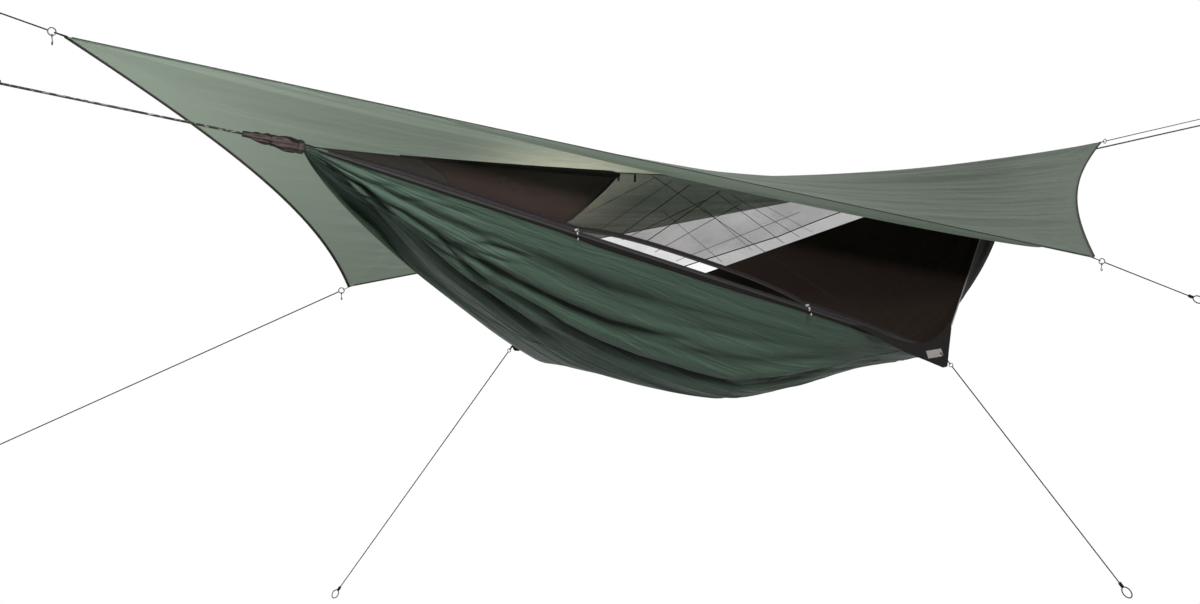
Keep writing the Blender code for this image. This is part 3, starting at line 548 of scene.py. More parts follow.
# The inner face: the same nylon as the outside, painted darker and less green as the shade inside the
# hammock.
INSIDE_SHADE_COLOUR = (0.030, 0.026, 0.018)
BODY_ROWS = 230
BODY_COLUMNS = 208
BODY_ROW_POWER = 0.9
BODY_COLUMN_SPREAD = ((0, 0.80, 1), (0, 0.62, 1))
BUNCHED_SHARE = 0.05

# The long folds from each gather: how far they reach, how they fade, how many
# there are and how far they drift; then the short fans beside each gather.
FOLD_DEPTH = 0.007
HEAD_FOLDS = (0.9, 1.2, 3.5, 0.25)
FOOT_FOLDS = (0.8, 2, 4.5, 0.4)
GATHER_FAN_DEPTH = 0.0055
GATHER_FANS = ((0.10, 0.13, 8, 3, 5), (0.92, 0.10, 9, 2, 6))
LONG_WRINKLE = 0.0035
SMALL_WRINKLE = 0.0011

# Fine pleats: how many, how deep, how far they drift and where they start.
# Broad tucks: depth, place and width along the body, place and width across.
BODY_PLEATS = ((13, 0.0030, 1.3, 0.2), (21, 0.0020, -2.1, 1.7), (34, 0.0011, 3.3, 0.9))
PLEATS_LOW_DOWN = (0.42, 0.24)
MIDDLE_TUCK = (0.017, 0.45, 0.30)
BODY_TUCKS = (
    (0.014, 0.22, 0.16, 0.45, 0.25),
    (0.036, 0.17, 0.11, 0.74, 0.20),
    (0.040, 0.08, 0.05, 0.70, 0.25),
    (0.022, 0.63, 0.08, 0.18, 0.16),
)
CREASE_GAIN = 1.35
# How deep a crease is where the shade painted in it is fullest, where the creases stop across the body, and
# the painted shadow under the zip along the near rim: its darkness and width.
CREASE_SHADE_DEPTH = 0.009
CREASED_TO = (0.72, 0.15)
RIM_SHADOW = 0.55
RIM_SHADOW_WIDTH = 0.016

# Creases that the photograph shows on the near side, from the gather down:
# each one's path in its pixels, its depth in metres and its width in pixels.
BODY_CREASES = (
    ([(334, 167), (350, 181), (362, 190), (379, 208), (397, 229), (414, 246), (429, 262)], 0.017, 3.6),
    (
        [(414, 246), (429, 262), (445, 277), (464, 292), (484, 307), (502, 319), (530, 337), (560, 352)],
        0.016,
        3.6,
    ),
    ([(313, 155), (325, 164), (335, 177), (347, 193), (358, 210), (367, 229), (378, 242)], 0.018, 4),
    ([(334, 171), (343, 181), (357, 197), (371, 213), (381, 227), (387, 236)], 0.007, 2.4),
    ([(440, 244), (456, 253), (470, 262), (484, 269), (500, 278), (520, 289), (540, 299)], 0.015, 3.8),
    ([(520, 289), (540, 299), (568, 312), (609, 327), (650, 336), (700, 343)], 0.014, 4.5),
    ([(457, 267), (467, 274), (478, 284), (487, 290)], 0.016, 4),
    ([(498, 295), (520, 306), (545, 320), (560, 331), (589, 345), (633, 362)], 0.016, 4.2),
    ([(560, 331), (589, 345), (633, 362), (686, 378), (719, 386), (742, 391)], 0.017, 4.2),
    ([(722, 385), (755, 382), (783, 380), (810, 376.5), (834, 372)], 0.013, 3),
    ([(730, 391), (760, 388), (790, 384), (815, 379)], 0.010, 3),
    ([(404, 218), (421, 229), (437, 240), (446, 250), (456, 262), (470, 276)], 0.007, 2.6),
    ([(463, 245.6), (488, 248), (512, 254), (530, 261)], 0.007, 2.6),
    ([(436, 240), (450, 247), (466, 250), (484, 256), (500, 262), (520, 268)], 0.006, 2.6),
    ([(367, 191), (390, 206), (415, 222), (440, 236)], 0.005, 2.4),
    ([(373, 197), (392, 213), (415, 232), (430, 243)], 0.005, 2.4),
    ([(372, 186), (380, 184), (390, 186), (403, 188.5)], 0.0045, 2.2),
    ([(394, 202), (402, 200.5), (415, 200.5), (427, 203)], 0.0045, 2.2),
    ([(430, 196), (442, 195), (452, 199)], 0.0040, 2.2),
    ([(434, 208), (448, 207), (462, 213), (474, 215)], 0.0040, 2.4),
    ([(446, 222), (462, 226), (480, 236), (492, 240)], 0.0035, 2.4),
    ([(420, 250), (446, 276), (484, 304), (526, 330), (580, 352), (640, 372), (700, 386)], 0.007, 5),
    ([(540, 262), (610, 292), (690, 312), (770, 330), (840, 344)], 0.008, 8),
    ([(470, 226), (540, 258), (600, 284), (660, 300)], 0.005, 8),
    ([(590, 306), (650, 322), (740, 340), (820, 350), (880, 352)], 0.006, 7),
    ([(600, 330), (680, 352), (740, 362), (810, 362), (860, 356)], 0.006, 6),
    ([(640, 262), (700, 290), (760, 312), (830, 330), (880, 340)], 0.005, 6),
)


def rim_at(share, side):
    """The hammock's rim at shares of the ridge: side -1 is near, 1 is far."""
    tie, tie_share = (NEAR_TIE, NEAR_TIE_SHARE) if side < 0 else (FAR_TIE, FAR_TIE_SHARE)
    bunch = Vector((0, side * GATHER_HALF_WIDTH, 0))
    stops = np.array((HEAD_GATHER + bunch, tie, FOOT_GATHER + bunch))
    return np.stack([np.interp(share, (0, tie_share, 1), line) for line in stops.T], axis=-1)


def body_lay(share, across):
    """The hanging cloth without its folds; across is 0 at the near rim, 1 at the far."""
    w = 2 * across - 1
    near = rim_at(share, -1)
    far = rim_at(share, 1)
    hang = BODY_HANG * (1 - np.abs(2 * share - 1) ** BODY_HANG_POWER)
    level = HEAD_GATHER.z - GATHER_DEPTH - hang
    depth = (near[..., 2] + far[..., 2]) / 2 - level
    places = near + (far - near) * across[..., None]
    places[..., 2] -= depth * (1 - w * w)
    side = np.where(share < 0.5, 1, -1)
    t = np.minimum(share, 1 - share) / FAR_TIE_SHARE
    along, over = SLACK_POWERS
    slack = np.sin(math.pi * np.clip(t, 0, 1) ** along) * np.sin(math.pi * np.abs(w) ** over)
    slack = np.where((w * side > 0) & (t < 1), slack, 0)
    places[..., 1] += side * SHORT_EDGE_SLACK * slack
    places[..., 2] -= SHORT_EDGE_SLACK_DROP * slack
    return places


def unit(directions):
    """Directions, given as rows of x, y and z, with a length of 1."""
    return directions / np.maximum(np.linalg.norm(directions, axis=-1, keepdims=True), 1e-9)


def outward_of(places):
    """Unit directions square to a sheet given as rows of points."""
    return unit(np.cross(np.gradient(places, axis=1), np.gradient(places, axis=0)))


def distance_to_path(pixels, path):
    """Each pixel's distance from a path of pixels, its side, and its share along it."""
    best = np.full(pixels.shape[:-1], 1e9)
    sides = np.zeros_like(best)
    shares = np.zeros_like(best)
    count = len(path) - 1
    for i in range(count):
        start = np.array(path[i], float)
        run = np.array(path[i + 1], float) - start
        t = np.clip(((pixels - start) @ run) / (run @ run), 0, 1)
        away = pixels - (start + t[..., None] * run)
        distance = np.linalg.norm(away, axis=-1)
        nearer = distance < best
        best = np.where(nearer, distance, best)
        sides = np.where(nearer, np.sign(run[0] * away[..., 1] - run[1] * away[..., 0]), sides)
        shares = np.where(nearer, (i + t) / count, shares)
    return best, sides, shares


def creases_on(places, creases):
    """How far the creases push each point out: a valley with a ridge on each side."""
    pixels = pixels_of(places)
    push = np.zeros(places.shape[:-1])
    for path, depth, width in creases:
        distance, side, share = distance_to_path(pixels, path)
        signed = distance * side / width
        fade = np.sin(math.pi * np.clip(share, 0.02, 0.98)) ** 0.6
        end = np.where((share < 0.001) | (share > 0.999), hump(distance, 0, width), 1)
        valley = -np.exp(-(np.abs(signed) ** 1.15))
        ridge = 0.42 * np.exp(-((signed + 2.2) ** 2) / 2.2) + 0.26 * np.exp(-((signed - 2.3) ** 2) / 2.2)
        push += depth * fade * end * (valley + ridge)
    return push


def folds_from(end_share, across, reach, fade, count, drift):
    """Long folds that run out of one gather: end_share is 0 there and 1 at the other."""
    swell = np.sin(math.pi * np.minimum(1, end_share / reach)) ** fade
    return swell * np.cos(math.tau * (count * across + drift * end_share))


share = np.linspace(0, 1, BODY_ROWS)[:, None] + np.zeros((1, BODY_COLUMNS))
share = 0.5 - 0.5 * np.sign(1 - 2 * share) * np.abs(1 - 2 * share) ** BODY_ROW_POWER
row_share = share[:, 0]
column_across = np.interp(np.linspace(0, 1, BODY_COLUMNS), *BODY_COLUMN_SPREAD)
across = column_across[None, :] + np.zeros((BODY_ROWS, 1))
lay = body_lay(share, across)
outward = outward_of(lay)
bunching = np.minimum(1, np.minimum(share, 1 - share) / BUNCHED_SHARE)
head_folds = folds_from(share, across, *HEAD_FOLDS)
foot_folds = folds_from(1 - share, across, *FOOT_FOLDS)
push = FOLD_DEPTH * (0.45 * head_folds + 0.35 * foot_folds)
fans = 0
for middle, width, count, bend, rate in GATHER_FANS:
    turn = math.tau * count * across + bend * np.sin(rate * across)
    fans = fans + hump(share, middle, width) * np.cos(turn)
push += GATHER_FAN_DEPTH * fans * bunching
long_folds = soft_noise(np.stack((share * 0.9, across * 3.2, share * 0), -1), 0.42, 11)
small_folds = soft_noise(np.stack((share * 3.0, across * 6.0, across * 0), -1), 0.30, 5)
push += bunching * (LONG_WRINKLE * long_folds + SMALL_WRINKLE * small_folds)
near_side = np.clip((CREASED_TO[0] - across) / CREASED_TO[1], 0, 1)
creases = creases_on(lay, BODY_CREASES) * near_side * bunching
push += CREASE_GAIN * creases
pleats = 0.0
for count, depth, drift, phase in BODY_PLEATS:
    turn = math.pi * (count * across + drift * share + 0.6 * long_folds + phase)
    pleats = pleats + depth * (1 - 1.6 * np.abs(np.sin(turn)) ** 0.7)
sag_share = np.sin(math.pi * np.clip(share, 0, 1)) ** 0.5
push += pleats * bunching * (0.25 + 0.75 * hump(across, *PLEATS_LOW_DOWN)) * (0.4 + 0.6 * sag_share)
tucks = MIDDLE_TUCK[0] * sag_share * hump(across, *MIDDLE_TUCK[1:])
for depth, along_middle, along_width, over_middle, over_width in BODY_TUCKS:
    tucks += depth * hump(share, along_middle, along_width) * hump(across, over_middle, over_width)
push -= tucks
edge = 1 - (2 * across - 1) ** 6
body_places = lay + outward * (push * edge)[..., None]
body = grid_mesh("hammock_body_cloth", body_places, *BODY_FLAT)
# Painted shade: the creases, and a painted shadow along the near rim under the zip, darken the cloth's colour
# through its fold_shade values.
rim_shadow = RIM_SHADOW * hump(across, 0, RIM_SHADOW_WIDTH)
shade_points(body, "fold_shade", np.maximum(np.clip(-creases / CREASE_SHADE_DEPTH, 0, 1), rim_shadow))
# The inner shell takes the second material, the same nylon with painted shade.
body_wall = body.modifiers.new("cloth", "SOLIDIFY")
body_wall.thickness = BODY_CLOTH_THICKNESS
body_wall.offset = 0
body_wall.material_offset = 1
body_wall.material_offset_rim = 0
body_look = woven(
    "hammock_nylon", BODY_COLOUR, 0.0006, 0.44, 0.88, 5.0, rips=0.006, painted_fold_shade=0.85, crumple=0.006
)
body.data.materials.append(body_look)
body.data.materials.append(woven("hammock_nylon_inside_shade", INSIDE_SHADE_COLOUR, 0.0006, 0.7, 0.88, 5.0))
dress(body, "hammock_body")


# Dark trim on the body: a black facing under the zip and a gusset of dark
# cloth under each short edge, all laid on the finished cloth.
FACING_LIFT = 0.0014
FACING_POINTS = 240
FACING_START = 0.012
# Places along the facing, and its width in millimetres at each.
FACING_WIDTHS_MM = ((0, 0.06, 0.36, 0.42, 0.60, 0.74, 0.80, 0.90, 1), (3, 7, 9, 17, 16, 10, 9, 16, 60))
FACING_COLUMNS = 30
FACING_MOST = 0.12
# Places along a gusset, and the share of the body's width that it covers at each.
GUSSET_DEPTHS = ((0, 0.08, 0.30, 0.80, 1.0), (0.055, 0.10, 0.20, 0.26, 0.25))
HEAD_GUSSET_SHARE = 0.45
GUSSET_SIZE = (24, 90)
GUSSET_COLOUR = (0.0085, 0.0070, 0.0070)


def on_body(share, across, lift=FACING_LIFT):
    """Places just outside the finished body cloth, read between its grid points."""
    row = np.interp(share, row_share, np.arange(BODY_ROWS))
    column = np.interp(across, column_across, np.arange(BODY_COLUMNS))
    low_row = np.clip(row.astype(int), 0, BODY_ROWS - 2)
    low_column = np.clip(column.astype(int), 0, BODY_COLUMNS - 2)
    down = (row - low_row)[..., None]
    over = (column - low_column)[..., None]
    places = 0
    for grid, weight in ((body_places, 1), (outward, lift)):
        top = grid[low_row, low_column] * (1 - over) + grid[low_row, low_column + 1] * over
        foot = grid[low_row + 1, low_column] * (1 - over) + grid[low_row + 1, low_column + 1] * over
        places = places + weight * (top * (1 - down) + foot * down)
    return places


def body_patch(name, shares, depths, look, side=-1, rows=14):
    """A strip of cloth on the body's outside, from its rim down to the given depths."""
    v = np.linspace(0, 1, rows)[None, :]
    across = 0.0006 + depths[:, None] * v
    if side > 0:
        across = 1 - across
    places = on_body(shares[:, None] + 0 * v, across)
    return dress(grid_mesh(name, places, 0.05, 1.0), None, look)


def tape_along(name, path, widthways, width, thickness):
    """A flat tape of cloth along a path, its width along the given directions."""
    path = np.asarray(path, float)
    widthways = unit(np.asarray(widthways, float) + np.zeros_like(path))
    thick = unit(np.cross(np.gradient(path, axis=0), widthways))
    half = widthways * np.reshape(width, (-1, 1)) / 2
    corners = []
    for over, through in ((-1, -1), (0, -1.25), (1, -1), (1, 1), (0, 1.25), (-1, 1)):
        corners.append(path + over * half + thick * through * thickness / 2)
    places = np.stack(corners, axis=1)
    first, last = (places[end] * 0 + places[end].mean(axis=0) for end in (0, -1))
    rows = np.concatenate((first[None], places, last[None]))
    count = len(path)
    length = float(np.linalg.norm(np.diff(path, axis=0), axis=-1).sum()) * (count + 2) / count
    made = grid_mesh(name, rows, 2 * float(np.max(width)), length, closed=True)
    weld(made)
    return made


gusset_look = woven("gusset_cloth", GUSSET_COLOUR, 0.0009, 0.75, 0.7, 20.0)
facing_share = np.linspace(FACING_START, NEAR_TIE_SHARE, FACING_POINTS)
facing_wide = np.interp(facing_share / NEAR_TIE_SHARE, *FACING_WIDTHS_MM)
first_columns = np.diff(body_places[:, :FACING_COLUMNS], axis=1)
cloth_wide = 1000 * np.linalg.norm(first_columns, axis=-1).sum(axis=1) / column_across[FACING_COLUMNS - 1]
facing_depth = np.minimum(facing_wide / np.interp(facing_share, row_share, cloth_wide), FACING_MOST)
body_trims = [body_patch("body_zip_facing", facing_share, facing_depth, gusset_look)]
for name, first, last, side in (
    ("foot_gusset", NEAR_TIE_SHARE, 0.985, -1),
    ("head_gusset", 0.015, FAR_TIE_SHARE, 1),
):
    gusset_share = np.linspace(first, last, GUSSET_SIZE[1])
    from_tie = (gusset_share - first) / (last - first)
    if side > 0:
        from_tie = 1 - from_tie
    gusset_depth = np.interp(from_tie, *GUSSET_DEPTHS) * (HEAD_GUSSET_SHARE if side > 0 else 1)
    body_trims.append(body_patch(name, gusset_share, gusset_depth, gusset_look, side, GUSSET_SIZE[0]))


# Flat seams on the body, each by its pixels in the photograph and its width:
# two along the smooth panel on its underside, and two along the edge of the
# fold at its foot.
SEAM_LINES_PX = (
    ([(374, 236), (401, 254), (430, 277), (464, 303), (500, 325), (540, 345)], 0.0026),
    ([(448, 283), (482, 308), (519, 334), (560, 351)], 0.0022),
    ([(735, 384), (783, 377), (830, 367), (870, 357), (900, 351)], 0.0040),
    ([(742, 389), (790, 381), (840, 370), (880, 360)], 0.0026),
)
SEAM_LIFT = 0.0016
SEAM_POINTS = 60
SEAM_THICKNESS = 0.0008
SEAM_COLOUR = (0.105, 0.125, 0.100)

seam_look = woven("body_seam", SEAM_COLOUR, 0.0007, 0.7, 0.8, 30.0)
body_pixels = pixels_of(body_places)
turned_away = (outward * (np.array(CAMERA_PLACE) - body_places)).sum(axis=-1) <= 0
for number, (corners_px, width) in enumerate(SEAM_LINES_PX, 1):
    spots = []
    for pixel in corners_px:
        distance = np.linalg.norm(body_pixels - np.array(pixel), axis=-1) + 1e6 * turned_away
        row, column = np.unravel_index(distance.argmin(), distance.shape)
        spots.append((row_share[row], column_across[column]))
    stops = np.linspace(0, 1, len(corners_px))
    run = np.linspace(0, 1, SEAM_POINTS)
    seam_share, seam_across = (np.interp(run, stops, line) for line in zip(*spots))
    path = on_body(seam_share, seam_across, SEAM_LIFT)
    over = on_body(seam_share, seam_across + 0.01, SEAM_LIFT) - path
    seam = tape_along(f"body_seam_{number}", path, over, width, SEAM_THICKNESS)
    body_trims.append(dress(seam, None, seam_look))


# The rim: a corded piping in the hammock's own green is sewn all round the
# body's edge and carries its pull to the two side tie-outs. Along the two
# short edges it is painted pale, a painted highlight along the cord.
PIPING_DIAMETER = 0.0042
PIPING_POINTS = 160
PIPING_RUN = (0.0015, 0.9985)
PIPING_COLOUR = (0.022, 0.028, 0.024)
PIPING_HIGHLIGHT_COLOUR = (0.17, 0.18, 0.165)
HIGHLIGHT_PAST_TIE = 0.06

piping_look = woven("piping_cloth", PIPING_COLOUR, 0.0007, 0.6, 0.75, 30.0)
piping_highlight_look = woven("piping_painted_highlight", PIPING_HIGHLIGHT_COLOUR, 0.0007, 0.6, 0.75, 30.0)
for name, side, tie in (("rim_piping_near", -1, NEAR_TIE), ("rim_piping_far", 1, FAR_TIE)):
    path = rim_at(np.linspace(*PIPING_RUN, PIPING_POINTS), side)
    piping = dress(cord_mesh(name + "_cord", path, PIPING_DIAMETER / 2, 10), name, piping_look)
    piping.data.materials.append(piping_highlight_look)
    # Faces past the tie, along the short edge, take the pale colour of the painted highlight.
    for face in piping.data.polygons:
        if (face.center.x - tie.x) * side < -HIGHLIGHT_PAST_TIE:
            face.material_index = 1


# The ridge cord: a thin black cord between the gathers, from which the insect
# net hangs and on which the tarp rests. Two sewn loops hang from it inside.
RIDGE_CORD_DIAMETER = 0.0030
RIDGE_CORD_SAG = 0.052
RIDGE_COLOURS = ((0.014, 0.013, 0.013), (0.05, 0.05, 0.05))
RIDGE_RUN = (0.001, 0.999)
RIDGE_POINTS = 120
RIDGE_LOOP_SHARES = (0.358, 0.380)
RIDGE_LOOP_LENGTH = 0.024
RIDGE_LOOP_WIDTH = 0.0085
RIDGE_LOOP_TAPE = (0.0034, 0.0009)
WEBBING_COLOUR = (0.010, 0.009, 0.009)


def ridge_at(share):
    """The ridge cord's line, which the net and the tarp pull down."""
    share = np.asarray(share, float)
    x = HEAD_GATHER.x + RIDGE_LENGTH * share
    z = HEAD_GATHER.z - RIDGE_CORD_SAG * (1 - (2 * share - 1) ** 2)
    return np.stack((x, 0 * x, z), axis=-1)


ridge_look = braid("ridge_cord_braid", *RIDGE_COLOURS, RIDGE_CORD_DIAMETER, 0.2)
ridge_path = ridge_at(np.linspace(*RIDGE_RUN, RIDGE_POINTS))
ridge = cord_mesh("ridge_cord_braided", ridge_path, RIDGE_CORD_DIAMETER / 2, 10)
dress(ridge, "ridge_cord", ridge_look)

webbing_look = woven("black_webbing", WEBBING_COLOUR, 0.0011, 0.8, 0.55, 40.0)
for number, loop_share in enumerate(RIDGE_LOOP_SHARES, 1):
    top = ridge_at(loop_share)
    turns = np.linspace(0, math.tau, 41)
    drop = RIDGE_LOOP_LENGTH / 2 * (1 - np.cos(turns))
    swing = RIDGE_LOOP_WIDTH / 2 * np.sin(turns) * (0.45 + 0.55 * drop / RIDGE_LOOP_LENGTH)
    path = np.stack((top[0] + 0 * turns, swing, top[2] - RIDGE_CORD_DIAMETER / 2 - drop), axis=-1)
    name = f"ridge_loop_{number}"
    loop = tape_along(name + "_tape", path, (1, 0, 0), *RIDGE_LOOP_TAPE)
    dress(loop, name, webbing_look)


# The insect net: six panels of fine dark mesh, from the rim up to the ridge
# cord. Beside the zip it is thin; at the head end it is denser, and between
# the two seams it is almost shut.
ZIP_START = np.array((0.76, -0.015, -0.125))
ZIP_LENGTH = 2.0091
# Along the zip and up the net from it.
FORWARD = np.array((0.915815, -0.266283, -0.300626))
ACROSS = np.array((0.400147, 0.668676, 0.626701))
TAPE_SEAT = 0.0023
TAPE_WIDTH = 0.012
TAPE_GAP = 0.0006
TAPE_RUN = (0.030, 0.955)
TAPE_END_SHARE = 0.25
TAPE_TAPER = 0.1
MOUTH_RUN = (0.387, 0.755)
MOUTH_HEIGHT = 0.042
NET_SEAM = 0.0005
STRAIGHT_SEAM_BOW = 0.009


def zip_taper(t):
    """How wide the zip's tapes are, as a share: they narrow towards both ends."""
    low, high = TAPE_RUN
    inner = np.clip(np.minimum((t - low) / TAPE_TAPER, (high - t) / TAPE_TAPER), 0, 1)
    return TAPE_END_SHARE + (1 - TAPE_END_SHARE) * inner


def zip_mouth(t):
    """How far the zip stands open between its two sliders."""
    x = (t - MOUTH_RUN[0]) / (MOUTH_RUN[1] - MOUTH_RUN[0])
    bow = 1 - np.abs(2 * np.clip(x, 0, 1) - 1) ** 3
    return MOUTH_HEIGHT * bow


def zip_place(t, height):
    """A place on the zip's line, raised from the rim towards the ridge."""
    t = np.asarray(t, float)
    height = np.asarray(height, float)
    return ZIP_START + (t * ZIP_LENGTH)[..., None] * FORWARD + height[..., None] * ACROSS


def body_tape_top(t):
    """The height of the upper edge of the zip's tape on the body."""
    return TAPE_SEAT + TAPE_WIDTH * zip_taper(t)


def net_tape_foot(t):
    """The height of the lower edge of the zip's tape on the net."""
    return body_tape_top(t) + TAPE_GAP + zip_mouth(t)


def net_tape_top(t):
    """The height of the upper edge of the zip's tape on the net."""
    return net_tape_foot(t) + TAPE_WIDTH * zip_taper(t)


def between(low, high, share):
    """Places on the way from low to high, at an array of shares."""
    return low + (high - low) * share[..., None]


def zip_net(t, v):
    """The near net over the zip: t runs along it and v up to the ridge cord."""
    return between(zip_place(t, net_tape_top(t) + NET_SEAM), ridge_at(t * NEAR_TIE_SHARE), v)


def rim_net(share, v, side):
    """The net that is sewn straight to the rim."""
    return between(rim_at(share, side), ridge_at(share), v)


def curved_seam(v):
    """Where the seam at the head side of the dark panel runs, as a share of the zip."""
    return 0.200 - 0.026 * v + 0.012 * np.sin(math.pi * v)


def straight_seam(v):
    """Where the seam at the foot side of the dark panel runs, as a share of the zip."""
    return 0.362 + 0.183 * v - STRAIGHT_SEAM_BOW * 4 * v * (1 - v)


def netting(name, colour, mesh, thin, thick, patchy):
    """See-through mesh: threads over holes, from thin between to thick on the threads."""
    made, tree, shader = new_material(name)
    place, directions = cloth_map(tree)
    waves = [wave(tree, way, math.pi / mesh) for way in directions]
    threads = [calculate(tree, "LESS_THAN", one, 0.30) for one in waves]
    thread = calculate(tree, "MAXIMUM", *threads)
    cloud = add_node(tree, "TexNoise", (("Vector", place), ("Scale", 5.0), ("Detail", 3.0))).outputs[0]
    span = calculate(tree, "MULTIPLY", thread, thick - thin)
    drift = calculate(tree, "MULTIPLY", calculate(tree, "SUBTRACT", cloud, 0.5), patchy)
    solid = calculate(tree, "ADD", calculate(tree, "ADD", span, thin), drift)
    band = add_node(tree, "Attribute", attribute_name="open_band").outputs["Fac"]
    solid = calculate(tree, "MULTIPLY", solid, calculate(tree, "SUBTRACT", 1.0, band))
    look = (("Base Color", (*colour, 1)), ("Alpha", solid), ("Roughness", 1.0), ("Specular IOR Level", 0.0))
    set_inputs(tree, shader, look)
    return made


# Each net's material name and colour, the pitch of its mesh, how solid it is
# between the threads and on them, and how much that varies.
net_look = netting("insect_net", (0.016, 0.0102, 0.0095), 0.0014, 0.45, 0.70, 0.16)
far_look = netting("far_insect_net", (0.170, 0.085, 0.070), 0.0014, 0.20, 0.38, 0.40)
dense_look = netting("dense_net", (0.013, 0.0100, 0.0095), 0.0012, 0.86, 0.98, 0.1)
dark_look = netting("dark_net", (0.0180, 0.0120, 0.0105), 0.0010, 0.965, 0.995, 0.03)
NET_START = 0.0005
NET_END = 0.9995
NET_ROWS = 46
NET_COLUMNS = 150
NET_WAVE = 0.0030

# The seam on the far net, as shares along the ridge and up the net. Below it
# the photograph shows the net much thinner.
FAR_SEAM = ((0.343, 0.5587, 0.6675, 0.7425, 0.86, 1.0), (0.14, 0.195, 0.22, 0.36, 0.55, 0.60))
OPEN_BAND = 0.90
OPEN_BAND_EDGE = 0.012

# Each panel's slot and finish, what surface it lies on, and its two ends: a
# share of that surface's length, or the seam that ends it.
PANELS = (
    ("net_head_panel", "insect_net", dense_look, "zip", NET_START, curved_seam),
    ("net_dark_panel", "dark_net", dark_look, "zip", curved_seam, straight_seam),
    ("net_zip_panel", "insect_net", net_look, "zip", straight_seam, NET_END),
    ("net_foot_panel", "insect_net", net_look, "near", NEAR_TIE_SHARE, NET_END),
    ("net_far_head_panel", "insect_net", far_look, "far", NET_START, FAR_TIE_SHARE),
    ("net_far_panel", "insect_net", far_look, "far", FAR_TIE_SHARE, NET_END),
)


def net_waves(places, amount, fade, seed):
    """Move a net's points a little out of its plane, least at its edges."""
    waves = soft_noise(places, 0.35, seed)
    return places + outward_of(places) * (amount * waves * fade)[..., None]


def longest(places, axis):
    """The length of the longest row of points along one axis of a grid."""
    return float(np.linalg.norm(np.diff(places, axis=axis), axis=-1).sum(axis=axis).max())


net_cuts = {}
for number, (name, slot, look, surface, *ends) in enumerate(PANELS):
    v = np.linspace(0, 1, NET_ROWS)[:, None] + np.zeros((1, NET_COLUMNS))
    x = np.linspace(0, 1, NET_COLUMNS)[None, :] + np.zeros((NET_ROWS, 1))
    first, last = (end(v) if callable(end) else end for end in ends)
    t = first + (last - first) * x
    lay = zip_net(t, v) if surface == "zip" else rim_net(t, v, -1 if surface == "near" else 1)
    fade = (4 * v * (1 - v)) ** 0.6 * (4 * x * (1 - x)) ** 0.6
    panel_places = net_waves(lay, NET_WAVE, fade, 20 + number)
    width = longest(panel_places, 0)
    length = longest(panel_places, 1)
    steps = np.cross(np.diff(panel_places, axis=0)[:, :-1], np.diff(panel_places, axis=1)[:-1])
    panel_area = float(np.linalg.norm(steps, axis=-1).sum())
    panel = grid_mesh(name + "_mesh", panel_places, length, width)
    if name == "net_far_panel":
        below = (np.interp(t, *FAR_SEAM) - v) / OPEN_BAND_EDGE
        shade_points(panel, "open_band", OPEN_BAND * np.clip(below, 0, 1))
    dress(panel, name, look)
    net_cuts[name] = (panel, (round(width, 3), round(length, 3)), round(panel_area, 4))


# The net's seams: two black tapes beside the dark panel, a black band under
# the ridge cord, a hem above the zip, a tape on the far net, and thin lines
# where the photograph shows cords and joins.
# Square to the net beside the zip, away from the sleeper.
OUT = np.array((0.034142, -0.694237, 0.718936))
SEAM_TAPE_THICKNESS = 0.0012
SEAM_RUN = (0.015, 0.985)
CURVED_SEAM_WIDTH = 0.0050
STRAIGHT_SEAM_WIDTH = 0.0110
FAR_SEAM_WIDTH = 0.0046
FAR_SEAM_RUN = (0.36, 0.98)
FAR_NET_UP = (0, -0.62, 0.78)
BAND_RUN = (0.150, 0.544)
# Places along the ridge band, and the share of the net that it reaches down to
# at each; then places along it, and its width at each.
BAND_DEPTHS = ((0.150, 0.40, 0.544), (0.016, 0.042, 0.052))
BAND_WIDTHS = ((0.150, 0.40, 0.530, 0.544), (0.010, 0.026, 0.030, 0.012))
BAND_LIFT = 0.0015
HEM_RUN = (0.03, 0.985)
HEM_WIDTHS = ((0.03, 0.12, 0.36, 0.42, 0.8, 0.985), (0.002, 0.007, 0.008, 0.011, 0.011, 0.008))
HEM_HEIGHT = 0.004
HEM_LIFT = 0.0011

# Cords and seams on the nets, each by the pixels of its ends and its width: on
# the near net first, then those that show through it from the far one.
NEAR_LINES_PX = (
    ((652, 176), (862, 318), 0.0042),
    ((715, 192), (783, 243), 0.0032),
    ((732, 195), (799, 237), 0.0032),
    ((690, 185), (622, 234), 0.0026),
    ((720, 191), (634, 250), 0.0028),
    ((672, 181), (600, 230), 0.0014),
    ((655, 178), (586, 214), 0.0012),
)
FAR_LINES_PX = (
    ((705, 200), (622, 240), 0.0034),
    ((740, 204), (655, 252), 0.0034),
    ((800, 212), (676, 261), 0.0034),
    ((664, 212), (722, 262), 0.0034),
    ((700, 205), (752, 250), 0.0034),
    ((755, 200), (812, 232), 0.0034),
)
LINE_POINTS = 24
LINE_THICKNESS = 0.0010


def lifted(places, way, height=SEAM_TAPE_THICKNESS):
    """Points moved off the net, towards the outside on the given side."""
    return places + way * OUT * height


net_trims = {name: [] for name in net_cuts}


def trim_net(panel_name, name, path, widthways, width, thickness=SEAM_TAPE_THICKNESS, look=webbing_look):
    """A tape on a net, kept in the list of the panel that it is sewn to."""
    tape = tape_along(name, path, widthways, width, thickness)
    net_trims[panel_name].append(dress(tape, None, look))


seam_v = np.linspace(*SEAM_RUN, 90)
curved_path = lifted(zip_net(curved_seam(seam_v), seam_v), 1)
straight_path = lifted(zip_net(straight_seam(seam_v), seam_v), 1)
trim_net("net_head_panel", "net_seam_curved", curved_path, FORWARD, CURVED_SEAM_WIDTH)
trim_net("net_zip_panel", "net_seam_straight", straight_path, FORWARD, STRAIGHT_SEAM_WIDTH)

